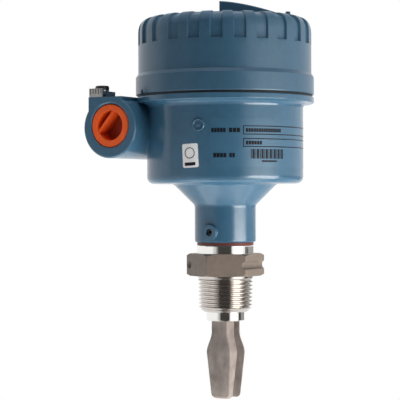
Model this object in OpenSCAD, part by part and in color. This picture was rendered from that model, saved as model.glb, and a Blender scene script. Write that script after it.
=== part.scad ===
// Vibrating fork level switch with a cast housing, a screw cover and a taper-threaded process fitting.
// The origin is on the axis at the underside of the hexagon. The fork points down and the cover is on top.

/* [Process fitting] */
// Width of the hexagon across its flats
hex_af = 40.6; // [36:0.1:42]
// Height of the hexagon
hex_h = 13.3; // [12:0.1:18]
// Radius of the alignment groove across one flat
groove_r = 2.2; // [1.5:0.1:3]
// Depth of the alignment groove
groove_depth = 2.1; // [1:0.1:2.4]
// Diameter of the round dimple near a corner of the hexagon
dimple_d = 4.8; // [3:0.1:6]
// Largest diameter of the taper thread
thread_d = 33.25; // [32:0.05:34]
// Pitch of the taper thread
thread_pitch = 2.309; // [1.8:0.001:2.6]
// Length of the thread below the hexagon
thread_len = 21.6; // [18:0.2:28]
// Length of the plain band above the thread
band_len = 2.4; // [2:0.1:3]
// Diameter of the plain spigot below the thread
spigot_d = 23; // [21.5:0.1:26]
// Length of the spigot
spigot_len = 5.4; // [4:0.2:12]
// Diameter of the polished collar above the hexagon
collar_d = 34.6; // [33:0.2:36]
// Height of the collar
collar_h = 5; // [3:0.1:6]
// Diameter of the stem inside the neck
stem_d = 26.8; // [25:0.2:28]
// Diameter of the sensor bore through the fitting
sensor_bore_d = 18; // [17.8:0.1:18.4]

/* [Fork] */
// Length of the fork below the spigot
fork_len = 46.5; // [40:0.5:70]
// Width of a tine's inner face at its root
tine_root_w = 15.6; // [12:0.1:16]
// Width of a tine's inner face at its widest
tine_max_w = 21.2; // [18:0.1:22]
// Width of a tine's inner face at its tip
tine_tip_w = 15.2; // [13:0.1:18]
// How much narrower the outer face is than the inner one at the root
tine_bevel_root = 5.6; // [4:0.1:7]
// How much narrower the outer face is than the inner one at the tip
tine_bevel_tip = 3.2; // [2:0.1:5]
// Gap between the tines at their roots
gap_root = 6.6; // [5.5:0.1:7.5]
// Gap between the tines along their blades
gap_blade = 9.2; // [8:0.1:10]
// Thickness of a tine at its root
tine_root_t = 4.6; // [3.5:0.1:5]
// Thickness of a tine at its tip
tine_tip_t = 2.2; // [1.8:0.1:3]
// Radius of the tip corners
tip_r = 3; // [1:0.5:5]
// Distance below the spigot where a tine starts to widen
flare_start = 7; // [4:0.5:9]
// Distance below the spigot where a tine is widest
flare_end = 19.3; // [15:0.1:24]

/* [Neck and gasket] */
// Thickness of the gasket under the neck
gasket_t = 1.6; // [1:0.1:2.5]
// Diameter of the gasket
gasket_d = 34; // [32:0.2:36]
// Diameter of the neck
neck_d = 36.8; // [36:0.2:40]
// Height of the straight part of the neck
neck_h = 22.4; // [21:0.2:30]
// Rounding of the neck's lower edge
neck_edge_r = 1.5; // [0.5:0.1:2]
// Diameter of the set screw in the neck
set_screw_d = 4; // [3:0.5:5]
// Height of the set screw above the neck's lower edge
set_screw_h = 6.5; // [6:0.1:8]
// Diameter of the set screw boss at its face
set_boss_d = 9.3; // [8.5:0.1:10.5]
// How far the set screw boss stands out of the neck
set_boss_out = 1.6; // [0.6:0.1:2]

/* [Housing] */
// Diameter of the housing body
body_d = 94; // [93:0.5:97]
// Height of the body from its underside to the flange
body_h = 51.7; // [51:0.2:58]
// Rounding of the body's lower edge
body_edge_r = 4; // [2:0.2:6]
// Wall thickness of the body
wall = 4.5; // [4:0.1:5]
// Floor thickness of the body
floor_t = 5; // [4.5:0.1:7]
// Radius of the cone where it meets the body's underside
cone_r = 31.4; // [30:0.2:34]
// Diameter of the flange below the cover
flange_d = 107.2; // [106:0.2:109]
// Rounding of the cove below the flange
cove_r = 3.5; // [2:0.1:4.5]
// Thickness of the flange
flange_t = 3.7; // [3:0.1:5]
// Width of the flange's face outside the cover thread
seat_w = 6.4; // [5.5:0.1:8]
// Rounding between the body's underside and the cone
cone_top_r = 5; // [2:0.5:8]
// Rounding between the cone and the neck
cone_foot_r = 3; // [1:0.5:6]

/* [Conduit run] */
// How far the run's axis lies outside the body's wall
run_out = 2.9; // [0:0.1:4]
// How far the run's top stays below the flange's top
run_drop = 0.2; // [0.2:0.1:3]
// Outer diameter of the run
run_d = 36.4; // [34:0.1:36.6]
// How far each entry face stays inside the flange's edge
run_in = 2.6; // [1:0.1:4]
// How far the entries' axis lies above the run's axis
entry_up = 1.1; // [0:0.1:2]
// Diameter of the two conduit entries
entry_d = 26.2; // [25:0.1:27]
// Depth of the two conduit entries
entry_depth = 24; // [23:0.5:26]
// Diameter of the passage between the entries
passage_d = 23; // [20:0.5:24]

/* [Plugs] */
// Radial room between a plug and its entry
plug_room = 0.3; // [0.3:0.05:0.5]
// Length of the plastic transit plug
transit_len = 17; // [14:0.5:20]
// Width of the transit plug's rim
transit_rim = 3.9; // [3:0.1:4.5]
// Depth of the transit plug's cup
transit_cup = 11; // [8:0.5:12]
// Thickness of the grip web across the cup
grip_t = 1.6; // [1.2:0.1:11]
// Distance of the grip web from the cup's middle
grip_off = 4.2; // [0:0.1:6]
// Lean of the grip web from the upright
grip_lean = 40; // [0:5:90]
// Length of the metal blanking plug
blanking_len = 18; // [14:0.5:20]
// Width across flats of the blanking plug's socket
blanking_af = 12; // [10:0.5:14]

/* [Earth terminal] */
// Width of the square pad on the run
pad_w = 23.1; // [22:0.1:24]
// Length of the pad along the run
pad_len = 18; // [16:0.5:22]
// Width of the wire clamp
clamp_w = 9.4; // [8:0.1:10.4]
// Length of the wire clamp
clamp_len = 14; // [12:0.2:15]
// Height of the wire clamp
clamp_h = 3.6; // [3:0.1:5]
// Diameter of the earth screw
earth_d = 4; // [3:0.5:4.5]

/* [Cover] */
// Height of the seal gap between flange and cover
seal_t = 1.2; // [0.8:0.1:1.8]
// Height of the cover's skirt
skirt_h = 10.7; // [9:0.1:13]
// Height of the sloped shoulder above the skirt
shoulder_h = 2.1; // [1.5:0.1:3]
// How far the cover's side lies inside its skirt
shoulder_in = 1.5; // [0.5:0.1:3]
// Height of the whole cover
cover_h = 46.4; // [43:0.1:52]
// Rounding of the cover's top edge
cover_edge_r = 9; // [4:0.2:10]
// Thickness of the cover's top
cover_top_t = 6; // [5.5:0.1:7]
// Number of grip notches around the cover
notch_n = 24; // [18:1:28]
// Depth of the grip notches
notch_depth = 1.4; // [1:0.1:1.8]
// Height of the grip notches below the cover's top
notch_h = 16.3; // [12:0.1:17]
// Height of the two turning lugs on top
lug_h = 7.2; // [5:0.2:10]
// Length of a turning lug
lug_len = 34.5; // [28:0.5:36]
// Thickness of a turning lug
lug_t = 4.4; // [3:0.2:6]
// Distance of a turning lug from the axis
lug_y = 27; // [24:0.5:28]
// Pitch of the cover thread
cover_pitch = 2; // [1.8:0.1:2.4]

/* [Electronics] */
// Room between the electronics cassette and the chamber's wall at its near side
cassette_room = 2.5; // [1.5:0.1:4]
// Height of the electronics cassette
cassette_h = 33; // [30:0.5:36]
// Distance of the cassette from the axis, away from the conduit run
cassette_x = 6; // [5:0.1:6.5]
// Number of terminals
terminal_n = 4; // [2:1:5]
// Spacing of the terminals
terminal_pitch = 8; // [7:0.5:9]
// Diameter of the mode switch dial
dial_d = 13; // [10:0.5:15]
// Diameter of the status light
led_d = 5; // [3:0.5:6]

/* [Hidden] */
$fn = 96;

// Small room between pieces that are screwed or pushed together
fit = 0.1;
// Room around the shaft of a screw that passes through
screw_room = 0.3;
// Room around pieces that fill a bore
bore_room = 0.05;
// Amount by which cutters pass through a face
over = 1;
// Depth by which a piece is sunk into the piece it grows from
root = 0.5;
// Small chamfer on turned and cast edges
edge = 0.5;

// Heights of the fitting's steps above and below the hexagon's underside
collar_top = hex_h + collar_h;
neck_z = collar_top + gasket_t;
neck_top = neck_z + neck_h;
spigot_z = -thread_len - spigot_len;
base_t = 3;
base_drop = 0.4;
diaphragm_z = spigot_z + base_t;

// Corners, chamfer and dimple of the hexagon
hex_corner = hex_af / 2 / cos(30);
hex_bevel = 1.9;
hex_flat = hex_af / 2 * tan(30);
dimple_floor_d = dimple_d / 2;
dimple_depth = 1.4;
dimple_in = 3.2;
dimple_turn = 240;

// Heights of the housing
neck_r = neck_d / 2;
body_r = body_d / 2;
body_z = neck_top + cone_r - neck_r;
flange_top = body_z + body_h;
flange_r = flange_d / 2;
flange_z = flange_top - flange_t;
cavity_r = body_r - wall;
cavity_z = body_z + floor_t;
neck_bore_r = stem_d / 2 + fit;
stem_in = 3.7;
stem_top = neck_top + stem_in;
throat_step = 2;
throat_r = neck_bore_r - throat_step;
cove_start = 170;
set_z = neck_z + set_screw_h;
set_face_y = -(neck_r + set_boss_out);
set_boss_draft = 2;
set_screw_sunk = 1.4;
set_key_depth = 2;

// Rim with the cover thread, above the flange
cover_thread_r = flange_r - seat_w;
cover_thread_depth = 0.9;
cover_thread_start = 2;
cover_thread_flat = 0.15;
rim_h = 13;
rim_top = flange_top + rim_h;
rim_wall = 3.3;
rim_root_r = cover_thread_r - cover_thread_depth;
opening_r = rim_root_r - rim_wall;
opening_z = flange_top - 2;
cover_ridges = floor((rim_h - 2 * cover_thread_start) / cover_pitch);

// Conduit run
run_x = body_r + run_out;
run_z = flange_top - run_drop - run_d / 2;
run_half = flange_r - run_in;
entry_z = run_z + entry_up;
run_edge = 0.8;
entry_lead = 0.8;
plug_r = entry_d / 2 - plug_room;
plug_sunk = 0.6;

// Heights of the cover
cover_z = flange_top + seal_t;
cover_top = cover_z + cover_h;
cover_r = flange_r - shoulder_in;
cover_thread_room = 0.4;
cover_bore_r = cover_thread_r + cover_thread_room;
cover_bore_h = 15.5;
chamber_step = 1.5;
chamber_r = cover_bore_r - chamber_step;
chamber_edge_r = 4;
cover_roof = cover_top - cover_top_t;
notch_reach = 2;
notch_turn = 8.7;
view_turn = 30;
lug_start = -3.5;
lug_bow = 1.6;
lug_steps = 10;
pip_inset = 15.1;
pip_x = cover_r - pip_inset;
pip_y = -21;
pip_d = 3;
pip_h = 1.8;
lock_notch = 2.4;
lock_notch_depth = 1.2;
lock_notch_turn = 233.5;
seal_in = 1;

// Thread form of the fitting
thread_depth = 0.64 * thread_pitch;
thread_taper = 1 / 32;
thread_run_out = 1.2;
thread_turns = floor((thread_len - band_len - thread_run_out) / thread_pitch);
thread_end_z = -band_len - thread_turns * thread_pitch;
thread_land = 0.02;

// Round seal in a groove of the stem
o_ring_r = 1.15;
o_ring_below = 7.4;
o_ring_z = neck_top - o_ring_below;
o_ring_orbit = neck_bore_r - o_ring_r - bore_room;
o_ring_floor = o_ring_orbit - o_ring_r - bore_room;
o_ring_half = o_ring_r + 0.15;

// Places on the pad of the conduit run
pad_in = 3.6;
pad_left = -run_x - run_d / 2 + pad_in;
pad_top = run_z + run_d / 2;
clamp_in = 0.3;
clamp_x = pad_left + clamp_in + clamp_w / 2;
clamp_y = -run_half + clamp_len / 2 + clamp_in;
clamp_top = pad_top + clamp_h;
clamp_groove_w = 2;
clamp_groove_h = 1.4;
clamp_groove_in = 2.6;
clamp_lip_t = 1.4;
clamp_lip_h = 1.6;
rib_n = 5;
rib_w = 0.6;
rib_foot = 1.8;
earth_depth = 5.6;
earth_head_d = 8.3;
earth_head_h = 2.6;
earth_tip = 1;
washer_t = 0.9;
washer_r = 4.2;
washer_split = 0.8;
washer_turn = 200;

// Form of all pan head screws
screw_slot_w = 1;
screw_slot_depth = 1.2;
screw_head_r = 1;

// Places in the wiring chamber
seat_h = 3;
seat_d = 10;
seat_top = cavity_z + seat_h;
cassette_r = cavity_r - cassette_x - cassette_room;
cassette_top = seat_top + cassette_h;
cassette_edge = 1.5;
fixing_in = 5;
fixing_y = cassette_r - fixing_in;
fixing_d = 4;
fixing_head_d = 7;
fixing_head_h = 2.6;
fixing_depth = 6;
fixing_tip = 1;
well_depth = 6;
well_room = 0.4;
socket_recess_r = 9;
socket_recess_h = 9;
socket_room = 0.2;
socket_h = 6;
socket_top = seat_top + socket_recess_h;
inner_earth_in = 5.3;
inner_earth_turn = 126.3;
inner_earth_orbit = cavity_r - inner_earth_in;
inner_earth_h = 14;
inner_earth_d = 9;
inner_earth_z = cavity_z + inner_earth_h;
inner_earth_depth = 10;
inner_earth_head_d = 7.4;
inner_earth_head_h = 2.4;

// Terminal block and what it holds
block_w = 13;
block_h = 11;
block_end = 1.5;
block_len = terminal_n * terminal_pitch + 2 * block_end;
block_in = 19.5;
block_x = cassette_x - cassette_r + block_in;
block_seat = 3;
block_z = cassette_top - block_seat;
block_back = 2;
block_step_w = 1.2;
block_step_h = 1.8;
cage_w = 5.4;
cage_h = 6;
cage_wall = 0.8;
cage_top_t = 1.4;
cage_z = block_z + 1.6;
cage_len = block_w - 2 * block_back;
terminal_shift = -1;
terminal_well_d = 5;
terminal_hole_d = 3.2;
terminal_screw_d = 3;
terminal_screw_len = 3.4;
terminal_head_d = 4.6;
terminal_head_h = 2;
terminal_turn = 20;

// Mode switch and its light
dial_from_middle = 15;
dial_x = cassette_x + dial_from_middle;
dial_y = -11;
dial_h = 3;
dial_edge = 0.6;
dial_lift = 0.2;
dial_room = 0.5;
dial_shaft_d = 4;
dial_shaft_len = 5;
dial_slot_w = 1.6;
dial_slot_depth = 1.4;
dial_slot_in = 2;
arrow_in = 4.2;
arrow_len = 2.6;
arrow_half = 2.2;
arrow_depth = 0.8;
led_y = 10;
led_depth = 4;

// Places in the sensor stack
bore_r = sensor_bore_d / 2;
lead_r = 0.7;
lead_in = 0.7;
lead_orbit = bore_r - lead_r - lead_in;
lead_n = 3;
stud_r = 1.5;
stud_sunk = 1.4;
ring_in = stud_r + 0.9;
ring_out = lead_orbit - lead_r - 0.9;
insulator_t = 1.5;
piezo_t = 2;
shim_t = 0.3;
shim_tail_w = 1.6;
shim_tail_len = lead_orbit - ring_out + fit;
piezo_n = 4;
stack_z = diaphragm_z + insulator_t;
stack_step = piezo_t + shim_t;
stack_top = stack_z + piezo_n * stack_step - shim_t;
disc_t = 3;
nut_d = 6.3;
nut_h = 4;
nut_z = stack_top + insulator_t + disc_t;
stud_tip = 1;
stud_top = nut_z + nut_h + stud_tip;
guide_t = 6;

// Stations along a tine, measured down from the spigot
tine_top = 0.1;
tine_soft = 0.5;
tine_thin_lead = 4;
tip_start = fork_len - tip_r;
tine_stations = concat(
  [tine_top],
  [for (i = [1:6]) flare_start * i / 6],
  [for (i = [1:8]) flare_start + (flare_end - flare_start) * i / 8],
  [for (i = [1:5]) flare_end + (tip_start - flare_end) * i / 5],
  [for (i = [1:6]) tip_start + tip_r * sin(15 * i)]
);

// Points along an arc in the plane, from one angle to another
function arc(cx, cy, r, a0, a1, n) = [for (i = [0:n])
  let (a = a0 + (a1 - a0) * i / n) [cx + r * cos(a), cy + r * sin(a)]];

// Ramps from 0 to 1 between two stations, one with soft ends and one straight
function share(s, a, b) = max(0, min(1, (s - a) / (b - a)));
function soft(s, a, b) = pow(share(s, a, b), 2) * (3 - 2 * share(s, a, b));

// Ring-shaped solid from an inner and an outer radius
module ring(r_in, r_out, h) {
  difference() {
    cylinder(r = r_out, h = h);
    translate([0, 0, -over]) cylinder(r = r_in, h = h + 2 * over);
  }
}

// Pan head screw along Z with its head above the origin and a straight slot
module pan_screw(d, head_d, head_h, len) {
  head_r = head_d / 2;
  difference() {
    union() {
      translate([0, 0, -len]) cylinder(d = d, h = len + root);
      rotate_extrude() polygon(concat(
        [[0, 0], [head_r, 0], [head_r, head_h - screw_head_r]],
        arc(head_r - screw_head_r, head_h - screw_head_r, screw_head_r, 15, 90, 5),
        [[0, head_h]]
      ));
    }
    translate([-head_d, -screw_slot_w / 2, head_h - screw_slot_depth])
      cube([2 * head_d, screw_slot_w, screw_slot_depth + over]);
  }
}

// One ridge of the cover thread above height z
function cover_ridge(z) = [
  [rim_root_r, z + fit],
  [cover_thread_r, z + cover_pitch / 2 - cover_thread_flat],
  [cover_thread_r, z + cover_pitch / 2 + cover_thread_flat],
  [rim_root_r, z + cover_pitch - fit]
];

// Profile of the housing's outside as a solid of revolution
module housing_outside() {
  cone_top_len = cone_top_r * tan(22.5);
  cone_foot_len = cone_foot_r * tan(22.5);
  rotate_extrude() polygon(concat(
    [[0, neck_z]],
    arc(neck_r - neck_edge_r, neck_z + neck_edge_r, neck_edge_r, -90, 0, 5),
    arc(neck_r + cone_foot_r, neck_top - cone_foot_len, cone_foot_r, 180, 135, 4),
    arc(cone_r + cone_top_len, body_z - cone_top_r, cone_top_r, 135, 90, 4),
    arc(body_r - body_edge_r, body_z + body_edge_r, body_edge_r, -90, 0, 6),
    arc(body_r + cove_r, flange_z - cove_r, cove_r, cove_start, 90, 5),
    [[flange_r - edge, flange_z], [flange_r, flange_z + edge]],
    [[flange_r, flange_top - edge], [flange_r - edge, flange_top]],
    [[rim_root_r, flange_top], [rim_root_r, flange_top + cover_thread_start]],
    [for (i = [0:cover_ridges - 1]) each cover_ridge(flange_top + cover_thread_start + i * cover_pitch)],
    [[rim_root_r, rim_top], [0, rim_top]]
  ));
}

module conduit_run() {
  run_r = run_d / 2;
  translate([-run_x, run_half, run_z]) rotate([90, 0, 0]) rotate_extrude() polygon([
    [0, 0], [run_r - run_edge, 0], [run_r, run_edge],
    [run_r, 2 * run_half - run_edge], [run_r - run_edge, 2 * run_half], [0, 2 * run_half]
  ]);
}

// Square pad that carries the outer earth terminal on the run
module earth_pad() {
  translate([pad_left, -run_half, run_z]) cube([pad_w, pad_len, run_d / 2]);
}

module set_screw_boss() {
  translate([0, 0, set_z]) rotate([90, 0, 0])
    cylinder(d1 = set_boss_d + set_boss_draft, d2 = set_boss_d, h = -set_face_y);
}

// Both conduit entries and the passage between them
module conduit_bores() {
  for (side = [-1, 1]) translate([-run_x, side * run_half, entry_z]) rotate([side * 90, 0, 0]) {
    translate([0, 0, -over]) cylinder(d = entry_d, h = entry_depth + over);
    cylinder(d1 = entry_d + 2 * entry_lead, d2 = entry_d, h = entry_lead);
  }
  translate([-run_x, run_half - entry_depth + over, entry_z]) rotate([90, 0, 0])
    cylinder(d = passage_d, h = 2 * (run_half - entry_depth + over));
}

// Places of the cassette's two screws and of the inner earth screw
module at_fixings(z) {
  for (side = [-1, 1]) translate([cassette_x, side * fixing_y, z]) children();
}
module at_inner_earth(z) {
  rotate([0, 0, inner_earth_turn]) translate([inner_earth_orbit, 0, z]) children();
}

// Seats inside the chamber and their tapped holes
module chamber_seats() {
  at_fixings(cavity_z - over) cylinder(d = seat_d, h = seat_h + over);
  at_inner_earth(cavity_z - over) cylinder(d = inner_earth_d, h = inner_earth_h + over);
}
module chamber_holes() {
  at_fixings(seat_top - fixing_depth) cylinder(d = fixing_d + 2 * fit, h = fixing_depth + over);
  at_inner_earth(inner_earth_z - inner_earth_depth)
    cylinder(d = earth_d + 2 * fit, h = inner_earth_depth + over);
}

module housing() {
  color([0.27, 0.41, 0.51]) difference() {
    union() {
      difference() {
        union() {
          housing_outside();
          conduit_run();
          earth_pad();
          set_screw_boss();
        }
        translate([0, 0, cavity_z]) cylinder(r = cavity_r, h = opening_z - cavity_z);
        translate([0, 0, opening_z - fit]) cylinder(r = opening_r, h = rim_top - opening_z + over);
        conduit_bores();
      }
      chamber_seats();
    }
    translate([0, 0, neck_z - over]) cylinder(r = neck_bore_r, h = stem_top + screw_room - neck_z + over);
    translate([0, 0, stem_top]) cylinder(r = throat_r, h = cavity_z - stem_top + over);
    translate([0, set_face_y - over, set_z]) rotate([-90, 0, 0])
      cylinder(d = set_screw_d + 2 * fit, h = -set_face_y + over);
    translate([clamp_x, clamp_y, pad_top - earth_depth])
      cylinder(d = earth_d + 2 * fit, h = earth_depth + over);
    chamber_holes();
  }
}

// Upper outline of the cover, drawn in by a given depth that fades towards its middle
function cover_outline(inset) = concat(
  [[cover_r - inset, cover_top - notch_h]],
  arc(cover_r - cover_edge_r, cover_top - cover_edge_r, cover_edge_r - inset, 0, 90, 7),
  [[cover_r - cover_edge_r - notch_reach, cover_top - inset / 2]]
);

// One grip notch, which runs up the side and over the top edge
module grip_notch(turn) {
  rotate([0, 0, turn]) rotate_extrude(angle = 180 / notch_n) polygon(concat(
    cover_outline(notch_depth),
    [[cover_r - cover_edge_r - notch_reach, cover_top + over], [cover_r + over, cover_top + over]],
    [[cover_r + over, cover_top - notch_h]]
  ));
}

// Turning lug whose top falls in an arch from its tall end
module turning_lug() {
  top = [for (i = [0:lug_steps]) [lug_len * i / lug_steps, root + lug_h * (1 - pow(i / lug_steps, lug_bow))]];
  translate([lug_start, -lug_y + lug_t / 2, cover_top - root]) rotate([90, 0, 0]) linear_extrude(lug_t)
    polygon(concat([[0, 0]], top, [[lug_len, 0]]));
}

// Small stud on top of the cover
module cover_pip() {
  translate([pip_x, pip_y, cover_top - root]) cylinder(d = pip_d, h = pip_h + root);
}

module housing_cover() {
  color([0.27, 0.41, 0.51]) {
    difference() {
      rotate_extrude() polygon(concat(
        [[cover_bore_r, cover_z], [flange_r - edge, cover_z], [flange_r, cover_z + edge]],
        [[flange_r, cover_z + skirt_h - edge], [flange_r - edge, cover_z + skirt_h]],
        [[cover_r, cover_z + skirt_h + shoulder_h]],
        arc(cover_r - cover_edge_r, cover_top - cover_edge_r, cover_edge_r, 0, 90, 7),
        [[0, cover_top], [0, cover_roof]],
        arc(chamber_r - chamber_edge_r, cover_roof - chamber_edge_r, chamber_edge_r, 90, 0, 6),
        [[chamber_r, cover_z + cover_bore_h + chamber_step], [cover_bore_r, cover_z + cover_bore_h]]
      ));
      for (i = [0:notch_n - 1]) grip_notch(notch_turn + (i - 0.25) * 360 / notch_n);
      rotate([0, 0, lock_notch_turn])
        translate([flange_r - lock_notch_depth, -lock_notch / 2, cover_z - over])
          cube([lock_notch_depth + over, lock_notch, lock_notch + over]);
    }
    for (turn = [0, 180]) rotate([0, 0, view_turn + turn]) turning_lug();
    rotate([0, 0, view_turn]) cover_pip();
  }
}

module cover_seal() {
  color([0.06, 0.06, 0.07]) translate([0, 0, flange_top])
    ring(cover_thread_r + edge, flange_r - seal_in, seal_t);
}

module neck_gasket() {
  color([0.45, 0.17, 0.12]) translate([0, 0, collar_top]) ring(stem_d / 2 + fit, gasket_d / 2, gasket_t);
}

module neck_o_ring() {
  color([0.08, 0.08, 0.08]) translate([0, 0, o_ring_z])
    rotate_extrude() translate([o_ring_orbit, 0]) circle(r = o_ring_r);
}

module neck_set_screw() {
  length = -set_face_y - set_screw_sunk - stem_d / 2;
  color([0.2, 0.2, 0.21]) translate([0, -stem_d / 2 - length, set_z]) rotate([-90, 0, 0]) difference() {
    cylinder(d = set_screw_d, h = length);
    translate([0, 0, -over]) cylinder(d = set_screw_d / 2, h = set_key_depth + over, $fn = 6);
  }
}

// Shallow round dimple near a corner of the hexagon
module hexagon_dimple() {
  grow = (dimple_d - dimple_floor_d) / dimple_depth;
  rotate([0, 0, dimple_turn])
    translate([hex_af / 2 - dimple_depth, dimple_in - hex_flat, hex_h / 2]) rotate([0, 90, 0])
      cylinder(d1 = dimple_floor_d, d2 = dimple_d + grow * over, h = dimple_depth + over);
}

// Hexagon with its corners cut by a cone above and below
module hexagon() {
  land_r = hex_corner - hex_bevel;
  drop = hex_bevel * tan(30);
  difference() {
    intersection() {
      rotate([0, 0, 30]) cylinder(r = hex_corner, h = hex_h, $fn = 6);
      rotate_extrude() polygon([
        [0, 0], [land_r, 0], [hex_corner, drop],
        [hex_corner, hex_h - drop], [land_r, hex_h], [0, hex_h]
      ]);
    }
    translate([hex_af / 2 + groove_r - groove_depth, 0, hex_h / 2]) rotate([90, 0, 0])
      cylinder(r = groove_r, h = hex_af, center = true);
    hexagon_dimple();
  }
}

// One ridge of the taper thread, listed downwards
function thread_crest(z) = thread_d / 2 + z * thread_taper;
function thread_ridge(z) = [
  [thread_crest(z) - thread_depth, z],
  [thread_crest(z - 0.42 * thread_pitch), z - 0.42 * thread_pitch],
  [thread_crest(z - 0.58 * thread_pitch), z - 0.58 * thread_pitch]
];

// Turned outside of the fitting below the hexagon
module threaded_end() {
  end_r = thread_crest(thread_end_z) - thread_depth;
  spigot_r = spigot_d / 2;
  rotate_extrude() polygon(concat(
    [[0, over], [thread_d / 2, over], [thread_d / 2, -band_len]],
    [for (i = [0:thread_turns - 1]) each thread_ridge(-band_len - thread_land - i * thread_pitch)],
    [[end_r, thread_end_z - thread_land], [end_r - edge, -thread_len], [spigot_r, -thread_len]],
    [[spigot_r, spigot_z + edge], [spigot_r - edge, spigot_z], [0, spigot_z]]
  ));
}

// Turned outside of the fitting above the hexagon
module collar_and_stem() {
  collar_r = collar_d / 2;
  stem_r = stem_d / 2;
  rotate_extrude() polygon([
    [0, hex_h - over], [collar_r, hex_h - over], [collar_r, collar_top - edge],
    [collar_r - edge, collar_top], [stem_r, collar_top],
    [stem_r, o_ring_z - o_ring_half], [o_ring_floor, o_ring_z - o_ring_half],
    [o_ring_floor, o_ring_z + o_ring_half], [stem_r, o_ring_z + o_ring_half],
    [stem_r, stem_top - edge], [stem_r - edge, stem_top], [0, stem_top]
  ]);
}

module process_fitting() {
  color([0.72, 0.71, 0.69]) difference() {
    union() {
      hexagon();
      threaded_end();
      collar_and_stem();
    }
    translate([0, 0, spigot_z - over]) cylinder(r = bore_r, h = stem_top - spigot_z + 2 * over);
  }
}

// Half widths of a tine's two faces and their distances from the middle, at s below the spigot
function tip_cut(s) = s < tip_start ? 0 : tip_r - sqrt(max(0, tip_r * tip_r - pow(s - tip_start, 2)));
function inner_half(s) = (tine_root_w + (tine_max_w - tine_root_w) * soft(s, flare_start, flare_end)
  + (tine_tip_w - tine_max_w) * share(s, flare_end, tip_start)) / 2 - tip_cut(s);
function bevel_half(s) = (tine_bevel_root
  + (tine_bevel_tip - tine_bevel_root) * share(s, flare_end, fork_len)) / 2;
function inner_y(s) = (gap_root + (gap_blade - gap_root) * soft(s, flare_start, flare_end)) / 2;
function outer_y(s) = inner_y(s) + tine_root_t
  + (tine_tip_t - tine_root_t) * share(s, flare_end - tine_thin_lead, fork_len);

// Corner of an outline softened by a short curve that leaves it by c on both sides
function unit(v) = v / norm(v);
function soft_corner(p, before, after, c) = [for (t = [0, 0.5, 1])
  p + unit(before - p) * c * pow(1 - t, 2) + unit(after - p) * c * pow(t, 2)];
function soft_outline(pts, c) = let (n = len(pts)) [for (i = [0:n - 1])
  each soft_corner(pts[i], pts[(i + n - 1) % n], pts[(i + 1) % n], c)];
function tine_section(s) = soft_outline([
  [inner_half(s), inner_y(s)],
  [inner_half(s) - bevel_half(s), outer_y(s)],
  [-inner_half(s) + bevel_half(s), outer_y(s)],
  [-inner_half(s), inner_y(s)]
], tine_soft);

module tine() {
  rows = [for (s = tine_stations) tine_section(s)];
  per = len(rows[0]);
  last = len(rows) - 1;
  points = [for (i = [0:last]) for (p = rows[i]) [p[0], p[1], spigot_z - tine_stations[i]]];
  sides = [for (i = [0:last - 1]) for (j = [0:per - 1])
    [i * per + j, i * per + (j + 1) % per, (i + 1) * per + (j + 1) % per, (i + 1) * per + j]];
  top = [[for (j = [per - 1:-1:0]) j]];
  bottom = [[for (j = [0:per - 1]) last * per + j]];
  polyhedron(points, concat(sides, top, bottom));
}

module fork() {
  color([0.55, 0.52, 0.5]) {
    difference() {
      translate([0, 0, spigot_z - base_drop]) cylinder(r = bore_r - bore_room, h = base_t + base_drop);
      translate([0, 0, diaphragm_z - stud_sunk - fit])
        cylinder(r = stud_r + bore_room, h = stud_sunk + fit + over);
    }
    for (turn = [0, 180]) rotate([0, 0, turn]) tine();
  }
}

// Push-in plug with a cup and a grip web, along -Z from its outer face
module transit_plug() {
  cup_r = plug_r - transit_rim;
  barrel_r = plug_r - 0.4;
  lip = 2.4;
  lead = 3;
  web_sunk = 1.2;
  color([0.85, 0.3, 0.1]) translate([-run_x, -run_half + plug_sunk, entry_z]) rotate([90, 0, 0]) {
    difference() {
      rotate_extrude() polygon([
        [0, -transit_len], [plug_r - lead / 2, -transit_len], [barrel_r, -transit_len + lead],
        [barrel_r, -lead], [plug_r, -lip], [plug_r, -edge], [plug_r - edge, 0], [0, 0]
      ]);
      translate([0, 0, -transit_cup]) cylinder(r = cup_r, h = transit_cup + over);
    }
    rotate([0, 0, -grip_lean]) translate([0, 0, -transit_cup - root])
      intersection() {
        translate([-grip_off - grip_t / 2, -cup_r - over, 0])
          cube([grip_t, 2 * (cup_r + over), transit_cup + root - web_sunk]);
        cylinder(r = cup_r + root, h = transit_cup);
      }
  }
}

module blanking_plug() {
  lead = 1.4;
  socket_depth = 9;
  color([0.7, 0.7, 0.68])
    translate([-run_x, run_half - plug_sunk, entry_z]) rotate([-90, 0, 0]) difference() {
      rotate_extrude() polygon([
        [0, -blanking_len], [plug_r - lead, -blanking_len], [plug_r, -blanking_len + lead],
        [plug_r, -run_edge], [plug_r - run_edge, 0], [0, 0]
      ]);
      translate([0, 0, -socket_depth]) cylinder(d = blanking_af / cos(30), h = socket_depth + over, $fn = 6);
    }
}

// Wire clamp with a raised, ribbed front and a bridge over the conductor
module earth_clamp() {
  rib_step = clamp_w / rib_n;
  groove_y = clamp_len / 2 - clamp_groove_in;
  color([0.6, 0.6, 0.6]) translate([clamp_x, clamp_y, pad_top]) difference() {
    translate([-clamp_w / 2, -clamp_len / 2, 0]) {
      cube([clamp_w, clamp_len, clamp_h]);
      cube([clamp_w, clamp_lip_t, clamp_h + clamp_lip_h]);
    }
    translate([0, 0, -over]) cylinder(d = earth_d + 2 * screw_room, h = clamp_h + 2 * over);
    for (side = [-1, 1])
      translate([-clamp_w, side * groove_y - clamp_groove_w / 2, -over])
        cube([2 * clamp_w, clamp_groove_w, clamp_groove_h + over]);
    for (i = [0:rib_n - 1])
      translate([-clamp_w / 2 + (i + 0.5) * rib_step - rib_w / 2, -clamp_len / 2 - over, rib_foot])
        cube([rib_w, over + edge, clamp_h]);
  }
}

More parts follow.
